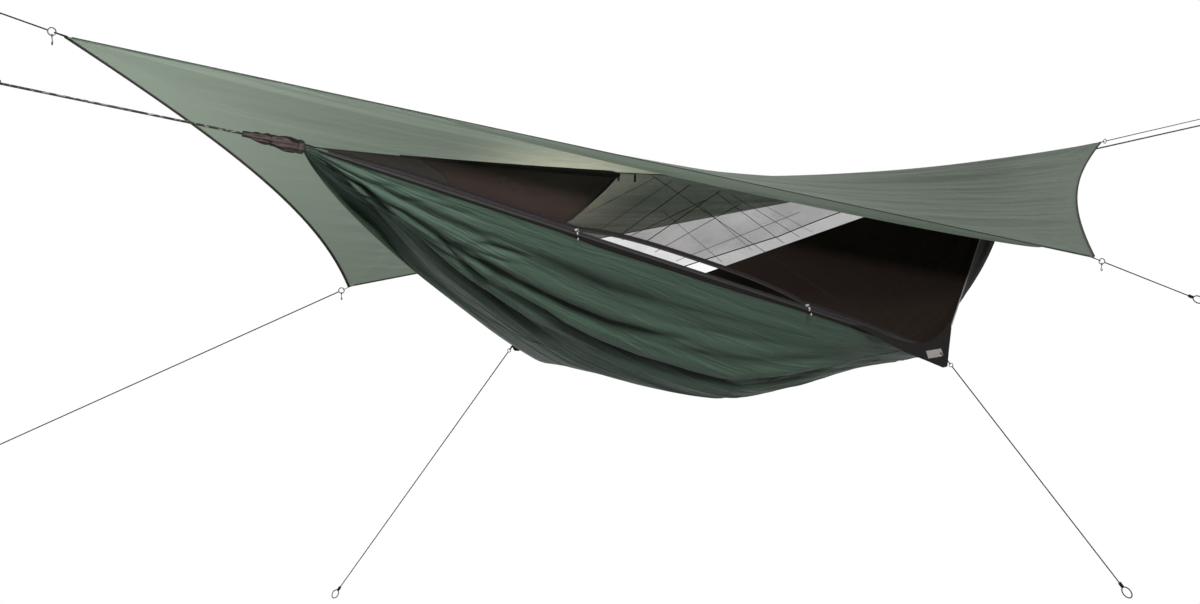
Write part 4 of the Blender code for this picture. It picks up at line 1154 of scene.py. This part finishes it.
band_t = np.linspace(*BAND_RUN, 90)
band_v = 1 - np.interp(band_t, *BAND_DEPTHS) / 2
band_path = zip_net(band_t, band_v)
band_down = zip_net(band_t, band_v - 0.02) - band_path
band_width = np.interp(band_t, *BAND_WIDTHS)
trim_net("net_dark_panel", "net_ridge_band", lifted(band_path, 1, BAND_LIFT), band_down, band_width)

hem_t = np.linspace(*HEM_RUN, 220)
hem_path = lifted(zip_place(hem_t, net_tape_top(hem_t) + HEM_HEIGHT), 1, HEM_LIFT)
trim_net("net_zip_panel", "net_zip_hem", hem_path, ACROSS, np.interp(hem_t, *HEM_WIDTHS))


def net_places(pixels, surface):
    """Where a net shows at some pixels: the nearest of its points, then refined."""
    t, v = np.meshgrid(np.linspace(0, 1, 201), np.linspace(0, 1, 81), indexing="ij")
    seen = pixels_of(surface(t, v))
    found = []
    for pixel in np.asarray(pixels, float):
        nearest = np.unravel_index(np.linalg.norm(seen - pixel, axis=-1).argmin(), t.shape)
        spot = np.array((t[nearest], v[nearest]))
        for _ in range(4):
            here = pixels_of(surface(spot[0], spot[1]))
            step = 0.001
            slope_t = (pixels_of(surface(spot[0] + step, spot[1])) - here) / step
            slope_v = (pixels_of(surface(spot[0], spot[1] + step)) - here) / step
            slopes = np.stack((slope_t, slope_v), axis=1)
            if abs(np.linalg.det(slopes)) < 1:
                break
            spot = spot + np.linalg.solve(slopes, pixel - here)
            spot = np.clip(spot, 0.002, 0.985)
        found.append(spot)
    return np.array(found)


def far_net(t, v):
    """The far net: t runs along the ridge and v up to the ridge cord."""
    return rim_net(np.asarray(t, float), np.asarray(v, float), 1)


line_run = np.linspace(0, 1, LINE_POINTS)[:, None]
soft_look = netting("soft_cord", (0.012, 0.010, 0.010), 0.0014, 0.40, 0.60, 0.1)
for group, panel_name, surface, lines, look, way in (
    ("near", "net_zip_panel", zip_net, NEAR_LINES_PX, webbing_look, 1),
    ("far", "net_far_panel", far_net, FAR_LINES_PX, soft_look, 0),
):
    for number, (top, foot, width) in enumerate(lines, 1):
        pixels = np.array(top) + line_run * (np.array(foot) - np.array(top))
        spots = net_places(pixels, surface)
        path = lifted(surface(spots[:, 0], spots[:, 1]), way)
        name = f"net_line_{group}_{number}"
        trim_net(panel_name, name, path, FORWARD, width, LINE_THICKNESS, look)
seam_share = np.linspace(*FAR_SEAM_RUN, 120)
far_path = far_net(seam_share, np.interp(seam_share, *FAR_SEAM))
trim_net("net_far_panel", "net_seam_far", far_path, FAR_NET_UP, FAR_SEAM_WIDTH)


# The zip: two tapes with a coil of nylon teeth on each facing edge, closed
# beyond the two sliders and open between them.
TEETH_PITCH = 0.0030
TEETH_WIRE_SHARE = 0.19
TEETH_SIDES = 6
TEETH_LIFT = 0.0004
COIL_RADIUS = 0.0011
TAPE_THICKNESS = 0.0011
TAPE_POINTS = 260


def plain(name, colour, roughness):
    """A material of one colour."""
    made, tree, shader = new_material(name)
    set_inputs(tree, shader, (("Base Color", (*colour, 1)), ("Roughness", roughness)))
    return made


tape_look = woven("zip_tape_cloth", (0.019, 0.014, 0.017), 0.0008, 0.8, 0.7, 30.0)
teeth_look = plain("zip_teeth_nylon", (0.020, 0.018, 0.018), 0.35)


def teeth_group():
    """Geometry nodes that set one tooth of the coil at every step along a curve."""
    group = bpy.data.node_groups.new("zip_teeth", "GeometryNodeTree")
    sockets = (("Geometry", "Geometry"), ("Pitch", "Float"), ("Wire", "Float"), ("Reach", "Float"))
    for name, kind in (*sockets, ("Finish", "Material")):
        group.interface.new_socket(name, in_out="INPUT", socket_type="NodeSocket" + kind)
    group.interface.new_socket("Geometry", in_out="OUTPUT", socket_type="NodeSocketGeometry")
    given = add_node(group, "NodeGroupInput").outputs
    along = (("Curve", given["Geometry"]), ("Length", given["Pitch"]))
    steps = add_node(group, "GeometryNodeResampleCurve", along, mode="LENGTH").outputs
    size = (("Vertices", TEETH_SIDES), ("Radius", given["Wire"]), ("Depth", given["Reach"]))
    tooth = add_node(group, "GeometryNodeMeshCylinder", size).outputs
    upward = (("Vector", tuple(ACROSS)),)
    turn = add_node(group, "FunctionNodeAlignRotationToVector", upward, axis="Z").outputs
    row = (("Points", steps["Curve"]), ("Instance", tooth["Mesh"]), ("Rotation", turn["Rotation"]))
    placed = add_node(group, "GeometryNodeInstanceOnPoints", row).outputs["Instances"]
    real = add_node(group, "GeometryNodeRealizeInstances", (("Geometry", placed),)).outputs[0]
    finish = (("Geometry", real), ("Material", given["Finish"]))
    finished = add_node(group, "GeometryNodeSetMaterial", finish).outputs[0]
    add_node(group, "NodeGroupOutput", (("Geometry", finished),))
    return group


teeth = teeth_group()


def outline_curve(name, outlines, flat):
    """A curve object through each outline's points, closed where flat and else open."""
    curve = bpy.data.curves.new(name, "CURVE")
    curve.dimensions = "2D" if flat else "3D"
    for outline in outlines:
        spline = curve.splines.new("POLY")
        spline.points.add(len(outline) - 1)
        for point, place in zip(spline.points, outline):
            point.co = (*place, 1)
        spline.use_cyclic_u = flat
    guide = bpy.data.objects.new(name + "_guide", curve)
    scene.collection.objects.link(guide)
    return guide


def baked(name, guide):
    """The mesh that a curve object and its modifiers make, as a piece of its own."""
    bpy.context.view_layer.update()
    graph = bpy.context.evaluated_depsgraph_get()
    mesh = bpy.data.meshes.new_from_object(guide.evaluated_get(graph))
    curve = guide.data
    bpy.data.objects.remove(guide)
    bpy.data.curves.remove(curve)
    mesh.name = name
    made = bpy.data.objects.new(name, mesh)
    scene.collection.objects.link(made)
    return made


def zip_teeth(name, path):
    """One row of teeth along a path, made by the geometry nodes."""
    guide = outline_curve(name, [path], False)
    modifier = guide.modifiers.new("teeth", "NODES")
    modifier.node_group = teeth
    values = {
        "Pitch": TEETH_PITCH / 2,
        "Wire": TEETH_PITCH * TEETH_WIRE_SHARE,
        "Reach": 2 * COIL_RADIUS,
        "Finish": teeth_look,
    }
    for item in teeth.interface.items_tree:
        if item.in_out == "INPUT" and item.name in values:
            modifier[item.identifier] = values[item.name]
    return baked(name, guide)


tape_t = np.linspace(*TAPE_RUN, TAPE_POINTS)
for name, low, high, facing, way in (
    ("zip_tape_body", 0 * tape_t + TAPE_SEAT, body_tape_top(tape_t), body_tape_top(tape_t), -1),
    ("zip_tape_net", net_tape_foot(tape_t), net_tape_top(tape_t), net_tape_foot(tape_t), 1),
):
    path = zip_place(tape_t, (low + high) / 2)
    tape = tape_along(name + "_woven", path, ACROSS, high - low, TAPE_THICKNESS)
    dress(tape, name, tape_look)
    teeth_path = zip_place(tape_t, facing + way * COIL_RADIUS) + OUT * (TAPE_THICKNESS / 2 + TEETH_LIFT)
    dress(zip_teeth(name + "_teeth", teeth_path), None)


# The sliders and their pulls: one at each end of the open mouth, with a wire
# bridge, and a pull of two strands of black and white cord on a small plate.
SLIDER_LENGTH = 0.014
SLIDER_WIDTH = 0.0095
SLIDER_THICKNESS = 0.0026
# Half of the slider's outline, as shares of its length and width.
SLIDER_OUTLINE = ((-0.5, 0.40), (-0.42, 0.5), (-0.1, 0.5), (0.5, 0.30))
SLIDER_CORNER = 0.0022
SLIDER_EDGE = 0.0007
BRIDGE_LENGTH = 0.0100
BRIDGE_HEIGHT = 0.0042
BRIDGE_WIRE = 0.0016
BRIDGE_STEPS = 24
PULL_LENGTH = 0.046
PULL_WIDTH = 0.0050
PULL_THICKNESS = 0.0024
PULL_EYE_RADIUS = 0.0014
PULL_STRAND = 0.0026
PULL_STRAND_START = 0.0070
PULL_STRAND_RADIUS_SHARE = 0.78
PULL_COLOURS = ((0.010, 0.010, 0.010), (0.90, 0.89, 0.86))
PULL_PLATE_END = ((0.010, -0.8), (0.011, 0.8))
CAD_TAPE_THICKNESS = 0.0014
SEAM_GAP = 0.0003


def aimed(origin, direction, up):
    """A frame at a point, its X along a direction and its Z near another."""
    x = Vector(direction).normalized()
    z = Vector(up) - x * Vector(up).dot(x)
    z = z.normalized()
    y = z.cross(x)
    frame_matrix = Matrix((x, y, z)).transposed().to_4x4()
    frame_matrix.translation = Vector(origin)
    return frame_matrix


def plate(name, outlines, thickness, matrix, round_edge=0.0004):
    """A flat plate with rounded edges from closed outlines, the inner ones holes."""
    guide = outline_curve(name, [[(*place, 0) for place in outline] for outline in outlines], True)
    curve = guide.data
    curve.fill_mode = "BOTH"
    curve.extrude = thickness / 2 - round_edge
    curve.bevel_depth = round_edge
    curve.bevel_resolution = 2
    curve.offset = -round_edge
    made = baked(name, guide)
    mesh = made.data
    layer = mesh.uv_layers.get("cloth") or mesh.uv_layers.new(name="cloth")
    for loop in mesh.loops:
        place = mesh.vertices[loop.vertex_index].co
        layer.data[loop.index].uv = (place.x, place.y)
    mesh.transform(matrix)
    return made


def rounded(outline, reach, steps=4):
    """An outline with each corner rounded by about the given reach."""
    points = []
    count = len(outline)
    for i in range(count):
        here = Vector(outline[i])
        before = Vector(outline[i - 1])
        after = Vector(outline[(i + 1) % count])
        back = (before - here).normalized() * min(reach, (before - here).length / 2.01)
        on = (after - here).normalized() * min(reach, (after - here).length / 2.01)
        for k in range(steps + 1):
            t = k / steps
            point = (here + back) * (1 - t) ** 2 + here * 2 * t * (1 - t) + (here + on) * t * t
            points.append(tuple(point))
    return points


def round_hole(centre, radius, count=24):
    """The outline of a round hole whose middle is at the given distance along X."""
    turns = [math.tau * i / count for i in range(count)]
    return [(centre + radius * math.cos(a), radius * math.sin(a)) for a in turns]


def metal(name, colour, roughness, metallic=1.0):
    """A metal with faint, fine wear in its roughness."""
    made, tree, shader = new_material(name)
    place = add_node(tree, "TexCoord").outputs["Object"]
    cloud = add_node(tree, "TexNoise", (("Vector", place), ("Scale", 900.0), ("Detail", 3.0)))
    rough = calculate(tree, "MULTIPLY_ADD", cloud.outputs[0], 0.22, roughness)
    set_inputs(tree, shader, (("Base Color", (*colour, 1)), ("Metallic", metallic), ("Roughness", rough)))
    return made


slider_look = metal("slider_metal", (0.62, 0.63, 0.65), 0.22)
pull_look = braid("pull_braid", *PULL_COLOURS, PULL_WIDTH * 1.4, 0.42)
chain = TAPE_SEAT + TAPE_WIDTH + TAPE_GAP / 2
slider_lift = CAD_TAPE_THICKNESS / 2 + SEAM_GAP + SLIDER_THICKNESS / 2
slider_outline = [(x, -y) for x, y in SLIDER_OUTLINE] + list(SLIDER_OUTLINE[::-1])
slider_outline = rounded([(x * SLIDER_LENGTH, y * SLIDER_WIDTH) for x, y in slider_outline], SLIDER_CORNER)
half = PULL_WIDTH / 2
eye = PULL_EYE_RADIUS - BRIDGE_WIRE / 2 - SEAM_GAP
eye_turns = np.linspace(math.pi / 2, 1.5 * math.pi, 9)
pull_plate = [(eye + half * math.cos(a), half * math.sin(a)) for a in eye_turns]
pull_plate += [(eye + reach, half * side) for reach, side in PULL_PLATE_END]
pull_outlines = [pull_plate, round_hole(eye, PULL_EYE_RADIUS, 20)]
for end, t, way in (("head", MOUTH_RUN[0], -1), ("foot", MOUTH_RUN[1], 1)):
    centre = zip_place(t, chain) + OUT * slider_lift + FORWARD * way * SLIDER_LENGTH / 2
    place = aimed(centre, FORWARD * way, OUT)
    body_plate = plate(f"slider_{end}_body", [slider_outline], SLIDER_THICKNESS, place, SLIDER_EDGE)
    arch = []
    for i in range(BRIDGE_STEPS + 1):
        turn = math.pi * i / BRIDGE_STEPS
        height = BRIDGE_HEIGHT * math.sin(turn) + SLIDER_THICKNESS / 4
        arch.append(place @ Vector((-BRIDGE_LENGTH / 2 * math.cos(turn), 0, height)))
    bridge = cord_mesh(f"slider_{end}_bridge", arch, BRIDGE_WIRE / 2, 10)
    slider = joined(f"zip_slider_{end}_cast", [body_plate, bridge])
    dress(slider, f"zip_slider_{end}", slider_look, f"slider_{end}")
    bar = place @ Vector((0, 0, BRIDGE_HEIGHT + SLIDER_THICKNESS / 4))
    lying = aimed(bar, -ACROSS, FORWARD * way)
    eye_plate = plate(f"pull_{end}_eye", pull_outlines, PULL_THICKNESS * 0.7, lying)
    strands = []
    for side in (-1, 1):
        reach = np.linspace(eye + PULL_STRAND_START, eye + PULL_LENGTH, 40)
        swing = side * PULL_STRAND * (0.55 + 0.40 * np.sin(reach * 210 + side))
        path = [lying @ Vector((x, y, 0.0)) for x, y in zip(reach, swing)]
        radius = PULL_STRAND * PULL_STRAND_RADIUS_SHARE
        strands.append(cord_mesh(f"pull_{end}_strand", path, radius, 10))
    grip = joined(f"pull_{end}_grip", strands)
    dress(grip, f"zip_pull_{end}", pull_look, f"pull_{end}")
    dress(eye_plate, None, slider_look, f"pull_{end}")


# The rain tarp: a parallelogram of thin coated cloth, stretched by two corners
# along the ridge and by one corner on each side. It rests on the ridge cord,
# its short edges are cut hollow and bound, and the near hem hangs slack.
TARP_HEAD = Vector((0.185, 0, 0.111))
TARP_FOOT = Vector((4.201, 0, 0.006))
TARP_NEAR = Vector((3.155, -0.693, -0.436))
TARP_FAR = Vector((1.17, 0.686, -0.535))
TARP_LOW_X = 2.25
TARP_REST = 0.0022
TARP_SAG_POWER = 1.6
TARP_CREASE_POWER = 1.5
TARP_SHORT_EDGE_CUT = 0.100
TARP_LONG_SIDE = 3.130
TARP_FLAT = (1.22, 3.13)
TARP_COLOUR = (0.120, 0.148, 0.122)
TARP_COLUMNS = 300
TARP_ROWS = 170
TARP_COLUMN_EASE = 0.12
CAD_TARP_THICKNESS = 0.0016

# Wrinkles: broad waves, two sizes of streaks that are stronger towards the
# foot, and a fan at each corner with its place, number of folds and turn.
TARP_WRINKLE = 0.004
TARP_WRINKLES = 2.5
STREAK_DEPTHS = (0.0048, 0.0032)
FOOT_STREAKS = 0.9
CORNER_FAN = 0.0030
CORNER_FAN_REACH = 0.42
CORNER_FAN_START = 0.08
CORNER_FANS = ((0, 0, 13, 0.4), (1, 0, 11, 1.1), (0, 1, 12, 0.0), (1, 1, 14, 2.0))

# The slack flap of the near hem, the hems and the bound short edges.
TARP_FLAP = 0.034
TARP_FLAP_SEEN = 0.026
TARP_FLAP_SHARES = (0.30, 0.93)
TARP_FLAP_BULGE = 0.004
FLAP_ROWS = 9
TARP_HEM = 0.004
HEM_SIZE = (0.0040, 0.0022)
HEM_RUN_U = (0.006, 0.994)
HEM_POINTS = 200
HEM_COLOUR = (0.030, 0.040, 0.033)
BINDING_WIDTH = 0.0080
BINDING_DIAMETER = 0.0050
BINDING_RUN_V = (0.004, 0.996)
BINDING_POINTS = 90
BINDING_COLOUR = (0.040, 0.037, 0.034)


def tarp_ridge_height(x):
    """The ridge line of the tarp, lowest where it rests on the ridge cord."""
    cord_top = ridge_at((TARP_LOW_X - HEAD_GATHER.x) / RIDGE_LENGTH)[2] + RIDGE_CORD_DIAMETER / 2
    low = cord_top + CAD_TARP_THICKNESS / 2 + TARP_REST
    end_x = np.where(x < TARP_LOW_X, TARP_HEAD.x, TARP_FOOT.x)
    end_z = np.where(x < TARP_LOW_X, TARP_HEAD.z, TARP_FOOT.z)
    share = np.clip((x - TARP_LOW_X) / (end_x - TARP_LOW_X), 0, 2)
    return low + (end_z - low) * share**TARP_SAG_POWER


def tarp_lay(u, v):
    """The tarp's surface; u runs along the near hem, v from the near to the far hem."""
    u, v = np.broadcast_arrays(np.asarray(u, float), np.asarray(v, float))
    cut = TARP_SHORT_EDGE_CUT / TARP_LONG_SIDE * 4 * v * (1 - v)
    u = cut + u * (1 - 2 * cut)
    head, foot, near, far = np.array((TARP_HEAD, TARP_FOOT, TARP_NEAR, TARP_FAR))
    r = np.clip((u + v) / 2, 0, 1)
    keep = (1 - r)[..., None]
    ridge_line = head * keep**2 + (near + far) * r[..., None] * keep + foot * r[..., None] ** 2
    lift = tarp_ridge_height(ridge_line[..., 0]) - ridge_line[..., 2]
    widest = np.maximum(2 * np.minimum(r, 1 - r), 1e-9)
    fade = np.clip(1 - np.abs(u - v) / widest, 0, 1)
    places = between(between(head, near, u), between(far, foot, u), v)
    places[..., 2] += lift * fade**TARP_CREASE_POWER
    return places


u = np.linspace(0, 1, TARP_COLUMNS)[:, None] + np.zeros((1, TARP_ROWS))
v = np.linspace(0, 1, TARP_ROWS)[None, :] + np.zeros((TARP_COLUMNS, 1))
eased = np.cos(math.pi * (TARP_COLUMN_EASE + (1 - 2 * TARP_COLUMN_EASE) * u))
u = 0.5 - 0.5 * eased / math.cos(math.pi * TARP_COLUMN_EASE)
places = tarp_lay(u, v)
swell = np.sin(math.pi * u) * np.sin(math.pi * v)
ripple = TARP_WRINKLE * swell * np.sin(math.tau * TARP_WRINKLES * (u - v))
fine = soft_noise(np.stack(((u - v) * 2.6, (u + v) * 0.20, 0 * u), -1), 0.16, 8)
finer = soft_noise(np.stack(((u - v) * 5.5 + 0.3 * (u + v), (u + v) * 0.5, 0 * u), -1), 0.16, 9)
corner_fans = 0
for corner_u, corner_v, folds, turn in CORNER_FANS:
    du = np.abs(u - corner_u) * TARP_LONG_SIDE
    dv = np.abs(v - corner_v) * TARP_FLAT[0]
    reach = np.hypot(du, dv)
    fan = np.sin(folds * np.arctan2(dv, du) + turn) * np.exp(-reach / CORNER_FAN_REACH)
    fan = fan * np.minimum(1, reach / CORNER_FAN_START)
    corner_fans = corner_fans + CORNER_FAN * fan
fade_edge = np.minimum(1, np.minimum(np.minimum(u, 1 - u), np.minimum(v, 1 - v)) / 0.05)
ridge_keep = np.clip(np.abs(u - v) / 0.04, 0, 1)
foot_side = 1 + FOOT_STREAKS * np.clip(((u + v) / 2 - 0.5) / 0.2, 0, 1)
streaks = foot_side * (STREAK_DEPTHS[0] * fine + STREAK_DEPTHS[1] * finer)
places[..., 2] += ripple + fade_edge * ridge_keep * (streaks + corner_fans)

flap_low, flap_high = TARP_FLAP_SHARES
flap_share = np.clip((u[:, 0] - flap_low) / (flap_high - flap_low), 0, 1)
flap_drop = TARP_HEM + TARP_FLAP_SEEN * np.sin(math.pi * flap_share) ** 0.5
flap = []
for i in range(FLAP_ROWS, 0, -1):
    share = i / FLAP_ROWS
    row = places[:, :1].copy()
    row[:, 0, 2] -= flap_drop * share
    row[:, 0, 1] -= TARP_FLAP_BULGE * np.sin(math.pi * share) * flap_drop / TARP_FLAP
    flap.append(row)
tarp = grid_mesh("tarp_canopy_cloth", np.concatenate(flap + [places], axis=1), *TARP_FLAT)
tarp_look = woven("tarp_cloth", TARP_COLOUR, 0.0005, 0.40, 0.93, 3.0, see_through=0.45, crumple=0.004)
dress(tarp, "tarp_canopy", tarp_look)

hem_look = woven("hem_thread", HEM_COLOUR, 0.0009, 0.7, 0.7, 20.0)
hem_u = np.linspace(*HEM_RUN_U, HEM_POINTS)
for name, hem_v, inner_v, inset in (("tarp_hem_near", 0.0, 0.01, 0.0), ("tarp_hem_far", 1.0, 0.99, 0.006)):
    edge = tarp_lay(hem_u, hem_v)
    inward = unit(tarp_lay(hem_u, inner_v) - edge)
    hem_tape = tape_along(name, edge + inward * inset, inward, *HEM_SIZE)
    dress(hem_tape, None, hem_look)

binding_look = woven("tarp_binding_cloth", BINDING_COLOUR, 0.0008, 0.8, 0.6, 30.0)
binding_v = np.linspace(*BINDING_RUN_V, BINDING_POINTS)
for name, edge_u, inner_u in (("tarp_binding_head", 0.0, 0.002), ("tarp_binding_foot", 1.0, 0.998)):
    edge = tarp_lay(edge_u, binding_v)
    inward = unit(tarp_lay(inner_u, binding_v) - edge)
    path = edge - inward * (BINDING_DIAMETER / 2 - BINDING_WIDTH / 4)
    binding = tape_along(name + "_tape", path, inward, BINDING_WIDTH, BINDING_DIAMETER)
    dress(binding, name, binding_look)


# The corners: a tab of webbing sewn to the tarp, a steel ring through its
# eyelet, a bent wire hook on three of the rings, and the guyline from the ring.
EYELET_RADIUS = 0.0026
EYELET_MARGIN = 0.0036
WEBBING_LENGTH = 0.022
WEBBING_BASE = 0.020
WEBBING_TIP = 0.012
WEBBING_THICKNESS = 0.0016
WEBBING_OVERLAP = 0.008
WEBBING_CORNER = 0.0012
RING_RADIUS = 0.0090
RING_WIRE = 0.0030
RING_POINTS = 48
HOOK_WIRE = 0.0024
HOOK_EYE_RADIUS = 0.0034
HOOK_EYE_TURNS = (-40, -320, 29)
HOOK_SHANK = 0.012
HOOK_THROAT_RADIUS = 0.006
HOOK_THROAT_TURNS = (100, -100, 25)
# Each corner of the tarp, the way and the distance to its line's eye, and
# whether a hook hangs in its ring.
CORNERS = (
    ("head", TARP_HEAD, Vector((-0.175, 0, 0.052)), True),
    ("foot", TARP_FOOT, Vector((0.790, 0, 0.138)), False),
    ("near", TARP_NEAR + Vector((0, 0, -TARP_HEM)), Vector((0.278, -0.195, -0.134)), True),
    ("far", TARP_FAR, Vector((-0.985, 0.695, -0.540)), True),
)

ring_look = metal("ring_steel", (0.030, 0.030, 0.032), 0.34, 0.35)
hook_look = plain("coated_wire", (0.010, 0.010, 0.010), 0.55)


def webbing_tab(name, corner, direction, length, base):
    """A tapered, sewn tab with an eyelet at its tip; gives the eyelet's frame."""
    place = aimed(corner + direction * SEAM_GAP, direction, (0, 0, 1))
    eyelet = length - EYELET_MARGIN - EYELET_RADIUS / 2
    side = [(-WEBBING_OVERLAP, base / 2)]
    side += [(length - WEBBING_TIP / 3, WEBBING_TIP / 2), (length, WEBBING_TIP / 3)]
    outline = [(x, -y) for x, y in side] + side[::-1]
    holed = [rounded(outline, WEBBING_CORNER, 2), round_hole(eyelet, EYELET_RADIUS)]
    dress(plate(name + "_sewn", holed, WEBBING_THICKNESS, place), name, webbing_look)
    return place @ Matrix.Translation((eyelet, 0, 0))


def steel_ring(name, eyelet, radius, wire):
    """A smooth ring through an eyelet, pulled against the eyelet's outer edge."""
    pulled = EYELET_RADIUS - wire / 2 - SEAM_GAP
    place = eyelet @ Matrix.Translation((pulled + radius, 0, 0))
    turns = [math.tau * i / RING_POINTS for i in range(RING_POINTS)]
    path = [place @ Vector((radius * math.cos(a), 0, radius * math.sin(a))) for a in turns]
    ring = cord_mesh(name + "_round", path, wire / 2, 14, closed=True)
    dress(ring, name, ring_look)
    return place


def wire_hook(name, place, ring_wire, body_name):
    """A bent wire hook: an eye round a ring's wire, a shank and an open throat."""
    eye = HOOK_EYE_RADIUS - HOOK_WIRE / 2 - ring_wire / 2 - SEAM_GAP
    stop = eye + HOOK_EYE_RADIUS + HOOK_SHANK
    arcs = []
    for middle, radius, turns in (
        (eye, HOOK_EYE_RADIUS, HOOK_EYE_TURNS),
        (stop, HOOK_THROAT_RADIUS, HOOK_THROAT_TURNS),
    ):
        angles = [math.radians(degrees) for degrees in np.linspace(*turns)]
        arcs.append([(middle + radius * math.cos(a), radius * math.sin(a), 0) for a in angles])
    shank = (eye + HOOK_EYE_RADIUS + HOOK_SHANK / 3, 0, 0)
    path = [place @ Vector(point) for point in (*arcs[0], shank, *arcs[1])]
    hook = cord_mesh(name + "_bent", path, HOOK_WIRE / 2, 12)
    dress(hook, name, hook_look, body_name)


def staked_line(names, seat, direction, stop, tab_size, ring_size):
    """A tab sewn on at its seat, its ring and the line from there to its eye.

    names are those of the tab, the ring, the line and its eye. Gives the
    ring's frame.
    """
    tab, ring, line, eye = names
    radius, wire = ring_size
    ring_place = steel_ring(ring, webbing_tab(tab, seat, direction, *tab_size), radius, wire)
    start = ring_place.translation + direction * (radius + wire / 2 + SEAM_GAP)
    taut_cord(line, eye, start, stop, LINE_DIAMETER, line_look)
    return ring_place


for place_name, corner, pull, hooked in CORNERS:
    direction = pull.normalized()
    seat = corner + direction * CAD_TARP_THICKNESS / 4
    names = [f"tarp_{kind}_{place_name}" for kind in ("webbing", "ring", "guyline", "eye")]
    tab_size = (WEBBING_LENGTH, WEBBING_BASE)
    ring_place = staked_line(names, seat, direction, corner + pull, tab_size, (RING_RADIUS, RING_WIRE))
    if hooked:
        low_point = ring_place.translation - Vector((0, 0, RING_RADIUS))
        hang = aimed(low_point, (0, 0, -1), Vector((pull.x, pull.y, 0)))
        wire_hook(f"tarp_hook_{place_name}", hang, RING_WIRE, f"hook_{place_name}")


# The side tie-outs: at each end of the wide line across the bed a broad tab of
# webbing, a small ring and a peg line hold the hammock's side out.
TIE_OUT_WEBBING_SIZE = (0.040, 0.034)
SMALL_RING_SIZE = (0.0058, 0.0024)
CAD_PIPING_DIAMETER = 0.0040
TIES = (
    ("near", NEAR_TIE, Vector((0.300, -0.455, -0.690))),
    ("far", FAR_TIE, Vector((-0.430, 0.590, -0.960))),
)
for place_name, tie, pull in TIES:
    direction = pull.normalized()
    seat = tie + direction * CAD_PIPING_DIAMETER / 2
    kinds = ("tie_out_webbing", "tie_out_ring", "peg_line", "peg_eye")
    names = [f"{kind}_{place_name}" for kind in kinds]
    staked_line(names, seat, direction, tie + pull, TIE_OUT_WEBBING_SIZE, SMALL_RING_SIZE)


# The tie-out corners: a triangle of black cloth over each corner of the net
# and the body, its edges corded, with a small blank patch on the near one. The
# near one's outlines are given by their pixels in the photograph.
CORNER_PATCH_PX = (
    (852, 325), (866, 331), (885, 341.5), (905, 352), (925, 360), (943, 367.5),
    (947, 366.5), (948.5, 350), (951, 328), (949, 322), (944, 330), (937, 337),
    (928, 342), (914, 344), (898, 340), (880, 333), (864, 326.5),
)
LABEL_PX = ((926, 351), (941, 348.5), (943.5, 356), (928.5, 358.5))
PATCH_THICKNESS = 0.0016
PATCH_LIFT = 0.0036
PATCH_CORNER = 0.004
PATCH_EDGE_RADIUS = 0.0011
LABEL_THICKNESS = 0.0008
LABEL_EDGE = 0.0002
LABEL_COLOUR = (0.20, 0.19, 0.18)


def pixel_on_plane(x, y, point, normal):
    """The place on a plane that shows at a pixel of the photograph."""
    right = (x - PHOTO_WIDTH_PX / 2) / FOCAL_PX
    down = (y - PHOTO_HEIGHT_PX / 2) / FOCAL_PX
    ray = LOOK + RIGHTWARD * right - UPWARD * down
    return CAMERA_PLACE + ray * ((point - CAMERA_PLACE).dot(normal) / ray.dot(normal))


near_pull = TIES[0][2].normalized()
along_rim = (Vector(rim_at(0.55, -1)) - NEAR_TIE).normalized()
patch_normal = near_pull.cross(along_rim).normalized()
if patch_normal.dot(CAMERA_PLACE - NEAR_TIE) < 0:
    patch_normal.negate()


def outline_on_corner(pixels, lift):
    """An outline of pixels, laid on the near corner's plane at the given height."""
    origin = NEAR_TIE + patch_normal * lift
    to_plane = aimed(origin, near_pull, patch_normal).inverted()
    return [tuple((to_plane @ pixel_on_plane(x, y, origin, patch_normal))[:2]) for x, y in pixels]


patch_frame = aimed(NEAR_TIE + patch_normal * PATCH_LIFT, near_pull, patch_normal)
middle = (HEAD_GATHER + FOOT_GATHER) / 2
half_turn = Matrix.Rotation(math.pi, 4, "Z")
around_middle = Matrix.Translation(middle) @ half_turn @ Matrix.Translation(-middle)
patch_outline = rounded(outline_on_corner(CORNER_PATCH_PX, PATCH_LIFT), PATCH_CORNER, 2)
label_outline = outline_on_corner(LABEL_PX, PATCH_LIFT + PATCH_THICKNESS)
for place_name, turned in (("near", Matrix.Identity(4)), ("far", around_middle)):
    name = f"corner_patch_{place_name}"
    patch = plate(name, [patch_outline], PATCH_THICKNESS, turned @ patch_frame)
    body_trims.append(dress(patch, None, gusset_look))
    rim_path = [patch_frame @ Vector((x, y, PATCH_THICKNESS / 2)) for x, y in patch_outline]
    rim_path = [turned @ point for point in rim_path]
    edge_name = f"corner_patch_edge_{place_name}"
    edge_cord = cord_mesh(edge_name, rim_path, PATCH_EDGE_RADIUS, 6, closed=True)
    body_trims.append(dress(edge_cord, None, webbing_look))
label_look = woven("label_cloth", LABEL_COLOUR, 0.0007, 0.7, 0.8, 30.0)
label_frame = patch_frame @ Matrix.Translation((0, 0, PATCH_THICKNESS * 0.9))
label = plate("corner_label_blank", [label_outline], LABEL_THICKNESS, label_frame, LABEL_EDGE)
body_trims.append(dress(label, None, label_look))
